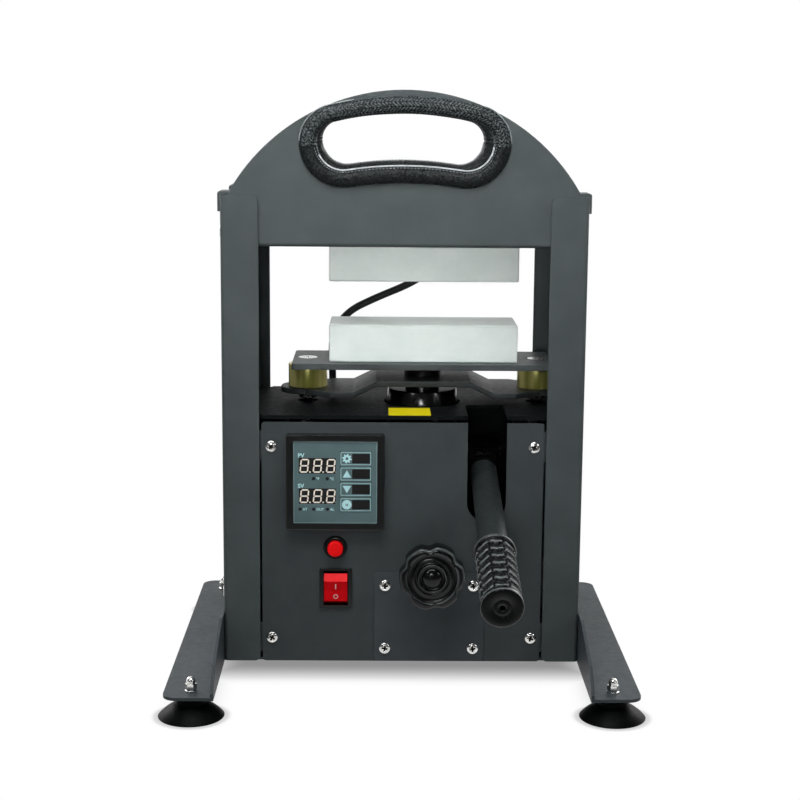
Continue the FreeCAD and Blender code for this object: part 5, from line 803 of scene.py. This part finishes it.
def grip_radius(along, turn):
    """Give the radius of the rubber grip, along from its end disc, with rows of raised scales."""
    body = 12.6 * MM
    collar = GRIP_LENGTH - along
    if along < DISC_LENGTH:
        neck = smooth_step(along, 4.2 * MM, DISC_LENGTH)
        return 15.2 * MM - 0.8 * MM * (1 - smooth_step(along, 0, 0.9 * MM)) - 1.8 * MM * neck
    if collar < COLLAR_LENGTH:
        lip = math.sqrt(max(0.0, 1 - ((collar - 2.6 * MM) / (2.9 * MM)) ** 2)) if collar < 5.5 * MM else 0.0
        return 13.0 * MM + 3.0 * MM * lip
    pads = 8
    pitch = 11.6 * MM
    share = (turn / (2 * math.pi) * pads + 0.5) % 1
    edge = abs(share * 2 - 1)
    bent = 2.6 * MM * (1 - edge)
    row = ((along - 7.0 * MM + bent) / pitch) % 1
    rise = smooth_step(row, 0.0, 0.1) * (1 - row * 0.72)
    groove = smooth_step(1 - edge, 0.0, 0.22)
    fade = smooth_step(along, 5.4 * MM, 7.4 * MM) * smooth_step(collar, COLLAR_LENGTH, 9 * MM)
    return body + 2.5 * MM * rise * (0.15 + 0.85 * groove) * fade


def grip_shade(along, turn):
    """Give how pale the grip is painted: a painted highlight, most on the crest of each scale and on the
    end's rim.
    """
    body = grip_radius(along, turn)
    if along < DISC_LENGTH:
        return 0.5 * smooth_step(body, 14.9 * MM, 15.2 * MM) * (1 - smooth_step(along, 0.9 * MM, 2.2 * MM))
    if GRIP_LENGTH - along < COLLAR_LENGTH:
        return 0.3 * smooth_step(body, 15.4 * MM, 16.0 * MM)
    return 0.75 * smooth_step(body, 14.3 * MM, 15.0 * MM)


def rubber_grip():
    """The ribbed grip on the lever, with its end disc and centre hole."""
    rows = 240
    steps = 144
    points = []
    shades = []

    def ring(radius_at, along, shade_at):
        for turn in turns(steps):
            radius = radius_at(along, turn)
            points.append(on_lever(radius * math.sin(turn), LEVER_REACH - along, radius * math.cos(turn)))
            shades.append(shade_at(along, turn))

    def plain_rings(rings):
        for radius, depth in rings:
            ring(lambda along, turn: radius * MM, depth, lambda along, turn: 0.0)

    # Radius and distance from the grip's end, in millimetres, from the disc's hole out to its rim
    end_rings = ((2.0, 3.2), (2.0, 0.5), (2.3, 0.1), (5.6, 0.1), (6.0, 0.35), (6.6, 0.35), (7.0, 0.05),
                 (12.8, 0.0), (13.8, 0.12))
    plain_rings((radius, depth * MM) for radius, depth in end_rings)
    for row in range(rows):
        ring(grip_radius, (GRIP_LENGTH - 0.3 * MM) * row / (rows - 1) + 0.3 * MM, grip_shade)
    plain_rings(((13.0, GRIP_LENGTH), (11.2, GRIP_LENGTH), (11.1, GRIP_LENGTH - 2 * MM)))
    made = piece_of("lever_grip_rubber", points, grid_faces(rows + 12, steps, False, True),
                    "grip_rubber", "lever")
    shade_points(made, shades)
    sharpen(made, 55)
    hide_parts("lever_grip")


rubber_grip()


# Release knob

def release_knob():
    """The knob: a rim with six broad lobes, a dished face, two thin rings and a round boss."""
    low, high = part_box("release_knob")
    centre = Vector(((low.x + high.x) / 2, 0, (low.z + high.z) / 2))
    front = low.y
    lobes = 6
    first_hollow = math.radians(36)
    hollow_half = math.radians(17)
    sector = 2 * math.pi / lobes
    rim = 26.0
    bite = 2.5
    steps = 240
    # Radius and depth behind the front, in millimetres, from the boss out to the rim's inner edge
    dish = [(8.0 * math.sin(math.radians(turn)) + 0.01, 3.5 - 3.2 * math.cos(math.radians(turn)))
            for turn in range(0, 91, 10)]
    dish += [(9.6, 3.55), (9.85, 3.3), (10.0, 1.7), (10.3, 1.2), (10.8, 1.05), (11.3, 1.2), (11.6, 1.7),
             (11.75, 3.3), (12.0, 3.55), (13.6, 3.6), (13.8, 3.35), (14.4, 3.3), (14.7, 3.55), (18.9, 3.5),
             (19.4, 3.2), (19.65, 1.2), (19.95, 0.45), (20.5, 0.08)]
    # Distance inside the lobed edge and depth, round the rim's front edge to its back
    edge = [(4.0, 0.0), (2.6, 0.12), (1.5, 0.5), (0.7, 1.1), (0.2, 1.9), (0.0, 2.9), (0.0, 15.2), (0.3, 16.6),
            (1.1, 17.7), (2.4, 18.4), (4.5, 18.6)]
    hub = [(12.2, 18.6), (11.8, 19.0), (11.8, 23.4), (5.2, 23.5)]
    # Painted highlights on the rims, the rings and the lobed edge
    painted_highlights = {10.8: 0.8, 14.4: 0.15, 19.65: 0.35, 19.95: 1.0, 20.5: 0.5, 1.5: 0.45, 0.7: 0.7, 0.2: 0.4}
    points = []
    shades = []

    def ring(radius_at, depth, shade=0.0):
        for turn in turns(steps):
            reach = radius_at(turn) * MM
            spot = Vector((reach * math.cos(turn), front + depth * MM, reach * math.sin(turn)))
            points.append(centre + spot)
            # The painted highlights are stronger towards one side, as if lit from there
            shades.append(shade * (0.62 + 0.38 * math.sin(turn + 0.7)))

    def lobed(turn):
        off = abs((turn - first_hollow + sector / 2) % sector - sector / 2)
        return rim - (bite * math.cos(math.pi / 2 * off / hollow_half) ** 2 if off < hollow_half else 0.0)

    for radius, depth in dish:
        ring(lambda turn: radius, depth, painted_highlights.get(radius, 0.0))
    for inside, depth in edge:
        ring(lambda turn: lobed(turn) - inside, depth, painted_highlights.get(inside, 0.0) if depth < 3 else 0.0)
    for radius, depth in hub:
        ring(lambda turn: radius, depth)
    rows = len(dish) + len(edge) + len(hub)
    faces = [tuple(reversed(face)) for face in grid_faces(rows, steps, False, True)]
    made = piece_of("release_knob_plastic", points, faces, "knob_plastic", "release")
    shade_points(made, shades)
    sharpen(made, 60)
    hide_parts("release_knob")


release_knob()


# Controller's print and digits

PRINT = 0.05 * MM              # thickness of a printed mark
SEGMENT_HALF = 2.9 * MM        # half width of a digit, middle of its strokes
SEGMENT_RISE = 5.0 * MM        # half height of a digit, middle of its strokes
SEGMENT_WIDTH = 1.1 * MM
SLANT = 0.1


def segment(gathered, start, end, x, z, front):
    """Add one stroke of a digit: a bar with pointed ends, slanted with its digit."""
    first, last = Vector(start), Vector(end)
    along = (last - first).normalized()
    side = Vector((-along.y, along.x)) * SEGMENT_WIDTH / 2
    tip = along * SEGMENT_WIDTH / 2
    first += along * 0.22 * MM
    last -= along * 0.22 * MM
    outline = [first, first + tip + side, last - tip + side, last, last - tip - side, first + tip - side]
    gathered.slab([(x + spot.x + spot.y * SLANT, z + spot.y) for spot in outline], front, PRINT * 2)


def digits(gathered, x, z, front):
    """Add an eight, with all seven strokes, and its point."""
    w, r = SEGMENT_HALF, SEGMENT_RISE
    for start, end in (((-w, r), (w, r)), ((-w, 0), (w, 0)), ((-w, -r), (w, -r)), ((-w, 0), (-w, r)),
                       ((w, 0), (w, r)), ((-w, -r), (-w, 0)), ((w, -r), (w, 0))):
        segment(gathered, start, end, x, z, front)
    gathered.slab(disc(x + w + 1.5 * MM, z - r, 0.62 * MM, 16), front, PRINT * 2)


def letters(gathered, text, size, x, z, front):
    """Add plain lettering from Blender's own face, its lower left corner at a place."""
    curve = bpy.data.curves.new("letters", "FONT")
    curve.body = text
    curve.size = size
    curve.resolution_u = 3
    curve.extrude = PRINT / 2
    curve.offset = size * 0.03
    holder = bpy.data.objects.new("letters", curve)
    scene.collection.objects.link(holder)
    flat = bpy.data.meshes.new_from_object(holder.evaluated_get(bpy.context.evaluated_depsgraph_get()))
    points = [(x + vertex.co.x, front + PRINT / 2 - vertex.co.z, z + vertex.co.y) for vertex in flat.vertices]
    gathered.add(points, [tuple(face.vertices) for face in flat.polygons])
    bpy.data.objects.remove(holder)
    bpy.data.curves.remove(curve)
    bpy.data.meshes.remove(flat)


def controller_print():
    """The display windows, digits, labels and pilot lamps on the controller's face."""
    centre = middle("controller_face")
    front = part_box("controller_face")[0].y
    sunk = front + 0.4 * MM
    left = centre.x - 28.9 * MM
    panes = Collector()
    lit = Collector()
    pale = Collector()
    dark = Collector()
    for label, level, rise in (("PV", 13.4, 21.3), ("SV", -11.1, -3.2)):
        z = centre.z + level * MM
        panes.slab(round_box(left + 14.75 * MM, z, 29.3 * MM, 12.5 * MM, 0.3 * MM), sunk - 0.1 * MM, 0.1 * MM)
        for index in range(3):
            digits(lit, left + (4.6 + 10.4 * index) * MM, z, sunk - 0.2 * MM)
        letters(pale, label, 4.6 * MM, left - 0.6 * MM, centre.z + (rise - 1.1) * MM, front - PRINT)
    for x, z, text in ((-70.3, 170.1, "°F"), (-59.5, 170.1, "°C"), (-80.9, 145.4, "AT"),
                       (-70.2, 145.4, "OUT"), (-59.3, 145.4, "AL")):
        dark.slab(disc(x * MM, z * MM, 1.35 * MM), front - PRINT, PRINT * 1.5)
        letters(pale, text, 2.8 * MM, (x + 2.1) * MM, (z - 1.0) * MM, front - PRINT)
    pale_rim = Collector()
    pale_rim.band(round_box(centre.x, centre.z, 65.7 * MM, 65.7 * MM, 0.5 * MM),
                  round_box(centre.x, centre.z, 64.7 * MM, 64.7 * MM, 0.3 * MM), front - PRINT / 2, PRINT)
    panes.made("display_windows", "window_black", "root", "controller_panel")
    lit.made("display_digits", "digit_white", "root", "controller_panel")
    pale.made("controller_labels", "print_pale", "root", "controller_panel")
    dark.made("pilot_lamps", "window_black", "root", "controller_panel")
    pale_rim.made("controller_rim_print", "rim_print", "root", "controller_panel")


def gear_icon(gathered, x, z, front):
    teeth = 8
    outer = []
    inner = []
    for step in range(teeth * 4):
        turn = 2 * math.pi * (step + 0.5) / (teeth * 4) + math.pi / 8
        reach = 3.8 * MM if step % 4 in (0, 1) else 2.8 * MM
        outer.append((x + reach * math.cos(turn), z + reach * math.sin(turn)))
        inner.append((x + 1.15 * MM * math.cos(turn), z + 1.15 * MM * math.sin(turn)))
    gathered.band(outer, inner, front, PRINT)


def arrow_icon(gathered, x, z, front, way):
    foot = z - way * 2.9 * MM
    gathered.slab([(x - 3.4 * MM, foot), (x + 3.4 * MM, foot), (x, z + way * 3.0 * MM)], front, PRINT)


def dial_icon(gathered, x, z, front):
    gathered.band(disc(x, z, 3.8 * MM), disc(x, z, 1.1 * MM), front, PRINT)
    gathered.slab(round_box(x, z + 0.4 * MM, 0.7 * MM, 1.6 * MM, 0.2 * MM, 3), front - PRINT / 2, PRINT)


def key_prints():
    """The outline, icon and dark field on each of the four keys."""
    for name in ("menu_key", "raise_key", "reduce_key", "standby_key"):
        low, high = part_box(name)
        x, z = (low.x + high.x) / 2, (low.z + high.z) / 2
        width, height = high.x - low.x, high.z - low.z
        front = low.y - PRINT
        pale = Collector()
        outline = Collector()
        outline.band(round_box(x, z, width - 0.1 * MM, height - 0.1 * MM, 1.1 * MM),
                     round_box(x, z, width - 1.7 * MM, height - 1.7 * MM, 0.6 * MM), front, PRINT)
        outline.made(name + "_outline", "print_outline", name, "key_plastic")
        icon_x = low.x + 5.2 * MM
        if name == "menu_key":
            gear_icon(pale, icon_x, z, front)
        elif name == "standby_key":
            dial_icon(pale, icon_x, z, front)
        else:
            arrow_icon(pale, icon_x, z, front, 1 if name == "raise_key" else -1)
        pale.made(name + "_print", "print_pale", name, "key_plastic")
        dark = Collector()
        dark.slab(round_box(x + 4.1 * MM, z, 14.0 * MM, height - 2.9 * MM, 0.3 * MM), front, PRINT)
        dark.made(name + "_field", "window_black", name, "key_plastic")


controller_print()
key_prints()


# Rocker's print

def rocker_legends():
    """The strokes of the mains switch: a bar over its pivot and a ring under it."""
    pivot = Vector((middle("rocker").x, FRONT + 7.5 * MM, 79.4 * MM))
    tilt = math.radians(12)
    pale = Collector()
    front = -10.26 * MM
    pale.slab(round_box(0, 4.3 * MM, 0.9 * MM, 4.6 * MM, 0.2 * MM), front, PRINT * 2)
    pale.band(disc(0, -4.6 * MM, 2.0 * MM), disc(0, -4.6 * MM, 1.25 * MM), front, PRINT * 2)
    turn = Matrix.Translation(pivot) @ Matrix.Rotation(tilt, 4, "X")
    points = [turn @ Vector(point) for point in pale.points]
    piece_of("rocker_legends", points, pale.faces, "legend_pale", "rocker", False)


rocker_legends()


# Screws

def cross_arm(across, along, arm, reach):
    """Give the depth share of one arm of a cross recess at a place."""
    return (1 - smooth_step(across, arm * 0.7, arm * 1.25)) * (1 - smooth_step(along, reach * 0.8, reach))


def screw_heads():
    """Twelve domed cross-head screws, eight in the front and four in the rear panel."""
    radius = 4.6 * MM
    skirt = 0.42 * MM
    crown = 2.2 * MM * 0.88
    rings = 22
    steps = 64
    arm = 0.7 * MM
    reach = 2.6 * MM
    panel_spots = [(x, z) for x in (-104, 104) for z in (194.6, 37.8)]
    cover_spots = [(x, z) for x in (-13.4, 57.4) for z in (29.4, 81.6)]
    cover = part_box("service_cover")[0].y
    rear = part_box("rear_panel")[1].y
    spots = [(x, z, PANEL, -1) for x, z in panel_spots]
    spots += [(x, z, cover, -1) for x, z in cover_spots]
    spots += [(x, z, rear, 1) for x, z in panel_spots]
    heads = Collector()
    recesses = Collector()
    for number, (x, z, face, way) in enumerate(spots):
        turned = 0.9 + number * 1.7
        sunk = face + way * (crown - 1.0 * MM) - (0.1 * MM if way > 0 else 0.0)
        # A dark slab in each arm of the cross recess paints the shade inside it
        for arm_turn in (turned, turned + math.pi / 2):
            along = Vector((math.cos(arm_turn), math.sin(arm_turn))) * reach * 0.86
            side = Vector((-math.sin(arm_turn), math.cos(arm_turn))) * arm * 0.92
            middle_spot = Vector((x * MM, z * MM))
            corners = (along + side, side - along, -along - side, along - side)
            recesses.slab([tuple(middle_spot + corner) for corner in corners], sunk, 0.1 * MM)
        points = []
        for ring in range(rings + 1):
            share = ring / rings
            for turn in turns(steps):
                across, up = radius * share * math.cos(turn), radius * share * math.sin(turn)
                height = skirt + (crown - skirt) * math.sqrt(max(0.0, 1 - share ** 2))
                first = abs(across * math.cos(turned) + up * math.sin(turned))
                second = abs(up * math.cos(turned) - across * math.sin(turned))
                slot = max(cross_arm(first, second, arm, reach), cross_arm(second, first, arm, reach))
                height -= 1.25 * MM * slot
                points.append((x * MM + across, face + way * height, z * MM + up))
        for share, height in ((1.0, skirt), (0.9, 0.24 * MM), (0.88, -0.05 * MM)):
            for turn in turns(steps):
                points.append((x * MM + radius * share * math.cos(turn), face + way * height,
                               z * MM + radius * share * math.sin(turn)))
        faces = grid_faces(rings + 4, steps, False, True)
        if way > 0:
            faces = [tuple(reversed(face_points)) for face_points in faces]
        heads.add(points, faces)
    made = sharpen(heads.made("panel_screw_heads", "bright_steel", "root", "bright_steel", True), 55)
    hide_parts("panel_screws")
    recesses.made("panel_screw_recesses", "recess_black", "root", "bright_steel")


screw_heads()


# Lead and springs

LEAD_POINTS = [(19.0, 326.0), (17.0, 318.5), (4.0, 310.5), (-22.0, 299.8), (-47.0, 287.5),
               (-58.5, 268.5), (-59.6, 248.0), (-58.6, 231.0), (-59.0, 215.0)]


def tube_curve(name, spots, radius, look, body):
    """Make a round smooth tube along the points of a route."""
    curve = bpy.data.curves.new(name, "CURVE")
    curve.dimensions = "3D"
    curve.bevel_depth = radius
    curve.bevel_resolution = 6
    curve.resolution_u = 10
    curve.use_fill_caps = True
    line = curve.splines.new("NURBS")
    line.points.add(len(spots) - 1)
    for point, spot in zip(line.points, spots):
        point.co = (*spot, 1.0)
    line.order_u = 3
    line.use_endpoint_u = True
    made = bpy.data.objects.new(name, curve)
    scene.collection.objects.link(made)
    curve.materials.append(looks[look])
    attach(made, body)
    return made


def upper_lead():
    """The heater's lead, from its box behind the upper platen down to the cabinet."""
    back = middle("upper_lead").y
    made = tube_curve("heater_lead", [(x * MM, back, z * MM) for x, z in LEAD_POINTS], 3.1 * MM,
                      "lead_rubber", "root")
    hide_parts("upper_lead")


def return_springs():
    """Two coil springs that stretch from the base beam to the carriage's bolts."""
    low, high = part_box("return_springs")
    wire = 1.1 * MM
    coil = 4.9 * MM
    coils = 16
    around = 20
    sides = 10
    points = []
    faces = []
    for x in (low.x + 6 * MM, high.x - 6 * MM):
        start = len(points)
        y = (low.y + high.y) / 2
        rows = coils * around + 1
        for row in range(rows):
            turn = 2 * math.pi * row / around
            climb = (high.z - low.z - 2 * wire) * row / (rows - 1)
            for way in turns(sides):
                reach = coil + wire * math.cos(way)
                points.append((x + reach * math.cos(turn), y + reach * math.sin(turn),
                               low.z + wire + climb + wire * math.sin(way)))
        faces += capped_faces(rows, sides, start)
    made = mesh_piece("return_spring_wire", points, faces, "spring_steel")
    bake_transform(made)
    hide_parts("return_springs")


upper_lead()
return_springs()


# Sticker

def sticker():
    """A blank yellow label on the top plate."""
    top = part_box("top_plate")[1].z
    side = 33.5 * MM
    thickness = 0.12 * MM
    outline = round_box(5.25 * MM, FRONT + 19.5 * MM, side, side, 1.2 * MM)
    count = len(outline)
    points = [(x, y, top + thickness) for x, y in outline] + [(x, y, top) for x, y in outline]
    faces = [tuple(range(count))]
    for index in range(count):
        beside = (index + 1) % count
        faces.append((index, index + count, beside + count, beside))
    piece_of("blank_label", points, faces, "sticker_film", "root", False)


sticker()


# Studio

def area_lamp(name, place, aim, size, power, spread=180):
    light = bpy.data.lights.new(name, "AREA")
    light.shape = "RECTANGLE"
    light.size, light.size_y = size
    light.energy = power
    light.spread = math.radians(spread)
    made = bpy.data.objects.new(name, light)
    scene.collection.objects.link(made)
    made.visible_camera = False
    made.location = place
    made.rotation_euler = (Vector(aim) - Vector(place)).to_track_quat("-Z", "Y").to_euler()


def camera_white(tree, shaded, share, behind=1.0):
    """Blend a shader towards plain white for the rays that form the picture and its reflections.

    share and behind are numbers, or sockets that give one; behind weighs the reflections.
    """
    path = add_node(tree, "LightPath", {})
    white = add_node(tree, "Emission", {"Color": (1, 1, 1, 1), "Strength": 1.0})
    mirrored = maths(tree, "MAXIMUM", path.outputs["Is Glossy Ray"], path.outputs["Is Transmission Ray"])
    mirrored = maths(tree, "MULTIPLY", mirrored, behind)
    seen = maths(tree, "MAXIMUM", path.outputs["Is Camera Ray"], mirrored)
    factor = maths(tree, "MULTIPLY", seen, share)
    return add_node(tree, "MixShader", {0: factor, 1: shaded, 2: white.outputs[0]}).outputs[0]


def ramp(tree, value, first, last, low, high):
    """Turn a value smoothly into another range."""
    return map_range(tree, value, first, last, low, high, interpolation_type="SMOOTHSTEP")


def place_of(tree, output):
    """Give the outputs X, Y and Z of one of the texture coordinates."""
    return add_node(tree, "SeparateXYZ", {0: add_node(tree, "TexCoord", {}).outputs[output]}).outputs


def outside(tree, across, along, centre, half):
    """Give how far a place of the floor lies outside a rectangle, less than 0 inside it."""
    gaps = []
    for value, middle_at, reach in zip((across, along), centre, half):
        off = maths(tree, "ABSOLUTE", maths(tree, "SUBTRACT", value, middle_at))
        gaps.append(maths(tree, "SUBTRACT", off, reach))
    return maths(tree, "MAXIMUM", *gaps)


FLOOR_SPREAD = 30 * MM         # how far the cabinet's shade on the floor reaches past the posts
FLOOR_INSIDE = 45 * MM         # how far inside that outline the shade is at its darkest
FLOOR_OUTSIDE = 14 * MM        # how far outside it the floor turns plain white
FLOOR_DARK = 0.28              # the floor's share of white where the shade is darkest
TOUCH_SPREAD = 8 * MM          # how far a cup's own shade reaches past its rim
TOUCH_DARK = 0.6               # the floor's share of white at a cup's rim


def floor_share(tree):
    """Give the floor's share of plain white: little under the cabinet and the legs, where a painted shadow
    shows, all of it in the open.
    """
    place = place_of(tree, "Object")
    across = maths(tree, "ABSOLUTE", place["X"])
    along = place["Y"]
    gaps = []
    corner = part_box("right_post")[1] + Vector((FLOOR_SPREAD, 0, 0))
    for low, high in ((Vector((-corner.x, PANEL, 0)), corner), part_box("right_leg")):
        gaps.append(outside(tree, across, along, (low + high) / 2, (high - low) / 2))
    near = maths(tree, "MINIMUM", *gaps)
    low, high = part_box("suction_cups")
    rim = CUP_RIM * MM
    from_middle = maths(tree, "ABSOLUTE", maths(tree, "SUBTRACT", along, (low.y + high.y) / 2))
    off = add_node(tree, "CombineXYZ", {
        "X": maths(tree, "SUBTRACT", across, high.x - rim),
        "Y": maths(tree, "SUBTRACT", from_middle, (high.y - low.y) / 2 - rim),
    })
    length = add_node(tree, "VectorMath", {0: off.outputs[0]}, operation="LENGTH").outputs["Value"]
    touch = ramp(tree, length, rim, rim + TOUCH_SPREAD, TOUCH_DARK, 1.0)
    under = ramp(tree, near, -FLOOR_INSIDE, FLOOR_OUTSIDE, FLOOR_DARK, 1.0)
    return maths(tree, "MINIMUM", under, touch)


def floor():
    """A pale floor that fades into white, with a painted shadow under the cabinet, the legs and the cups, and
    throws little light back on the object.
    """
    mesh = bpy.data.meshes.new("floor")
    reach = 6.0
    corners = [(-reach, -reach, 0), (reach, -reach, 0), (reach, reach, 0), (-reach, reach, 0)]
    mesh.from_pydata(corners, [], [(0, 1, 2, 3)])
    made = bpy.data.objects.new("floor", mesh)
    scene.collection.objects.link(made)
    look = bpy.data.materials.new("floor")
    look.use_nodes = True
    tree = look.node_tree
    shader = tree.nodes["Principled BSDF"]
    shader.inputs["Roughness"].default_value = 0.8
    shader.inputs["Specular IOR Level"].default_value = 0.1
    share = floor_share(tree)
    open_floor = maths(tree, "MULTIPLY", share, add_node(tree, "LightPath", {}).outputs["Is Camera Ray"])
    # For the picture the floor's colour is painted dark where its share of white is low, a painted shadow;
    # other rays see it dark
    painted_shadow_and_dim_bounce = mixed(tree, ramp(tree, open_floor, 0.7, 1.0, 0.0, 1.0), grey(0.16), grey(0.93))
    tree.links.new(painted_shadow_and_dim_bounce, shader.inputs["Base Color"])
    behind = ramp(tree, place_of(tree, "Object")["Y"], -0.4, -0.2, 0.0, 1.0)
    shown = camera_white(tree, shader.outputs[0], share, behind)
    tree.links.new(shown, tree.nodes["Material Output"].inputs["Surface"])
    mesh.materials.append(look)


def backdrop():
    """A white backdrop behind the object, so that reflections of the front show the room instead."""
    world = bpy.data.worlds.new("studio")
    scene.world = world
    world.use_nodes = True
    tree = world.node_tree
    air = tree.nodes["Background"]
    air.inputs["Color"].default_value = (0.95, 0.97, 1.0, 1)
    air.inputs["Strength"].default_value = 0.12
    behind = ramp(tree, place_of(tree, "Generated")["Y"], -0.15, 0.3, 0.0, 1.0)
    shown = camera_white(tree, air.outputs[0], 1.0, behind)
    tree.links.new(shown, tree.nodes["World Output"].inputs["Surface"])


def lamps():
    """Soft lamps above, ahead and on both sides, and two behind that light the edges."""
    area_lamp("softbox", (-0.06, -0.4, 0.93), (0, 0, 0.3), (0.7, 0.3), 6)
    area_lamp("front", (-0.1, -1.5, 0.42), (0, 0, 0.38), (0.25, 0.25), 0.2, 28)
    area_lamp("key", (-0.9, -1.3, 1.1), (0, 0, 0.25), (0.35, 0.35), 3.5)
    area_lamp("fill", (1.3, -1.2, 0.8), (0, 0, 0.25), (0.25, 0.5), 3)
    for name, side in (("rim_left", -1), ("rim_right", 1)):
        area_lamp(name, (side * 1.4, 1.4, 1.0), (0, 0, 0.25), (0.8, 1.2), 17)


PICTURE_PIXELS = 800           # width of the picture
FOCAL_PIXELS = 1671.5          # focal length, in pixels of that width
SENSOR_WIDTH = 36.0
CAMERA_PLACE = Vector((-18.38 * MM, FRONT - 1291.83 * MM, 460.88 * MM))
CAMERA_TURNS = (10.024, 0.700, -0.467)     # pitch, yaw and roll, in degrees


def camera():
    """Stand the camera where the photograph was taken from."""
    pitch, yaw, roll = (math.radians(turn) for turn in CAMERA_TURNS)
    ahead = Vector((math.sin(yaw) * math.cos(pitch), math.cos(yaw) * math.cos(pitch), -math.sin(pitch)))
    right = Vector((math.cos(yaw), -math.sin(yaw), 0))
    down = ahead.cross(right)
    level = right * math.cos(roll) + down * math.sin(roll)
    lower = down * math.cos(roll) - right * math.sin(roll)
    data = bpy.data.cameras.new("camera")
    data.sensor_fit = "HORIZONTAL"
    data.sensor_width = SENSOR_WIDTH
    data.lens = SENSOR_WIDTH * FOCAL_PIXELS / PICTURE_PIXELS
    data.clip_start = 0.05
    made = bpy.data.objects.new("camera", data)
    scene.collection.objects.link(made)
    turn = Matrix((level, -lower, -ahead)).transposed().to_4x4()
    made.matrix_world = Matrix.Translation(CAMERA_PLACE) @ turn
    scene.camera = made


floor()
backdrop()
lamps()
camera()
scene.view_settings.view_transform = "Standard"
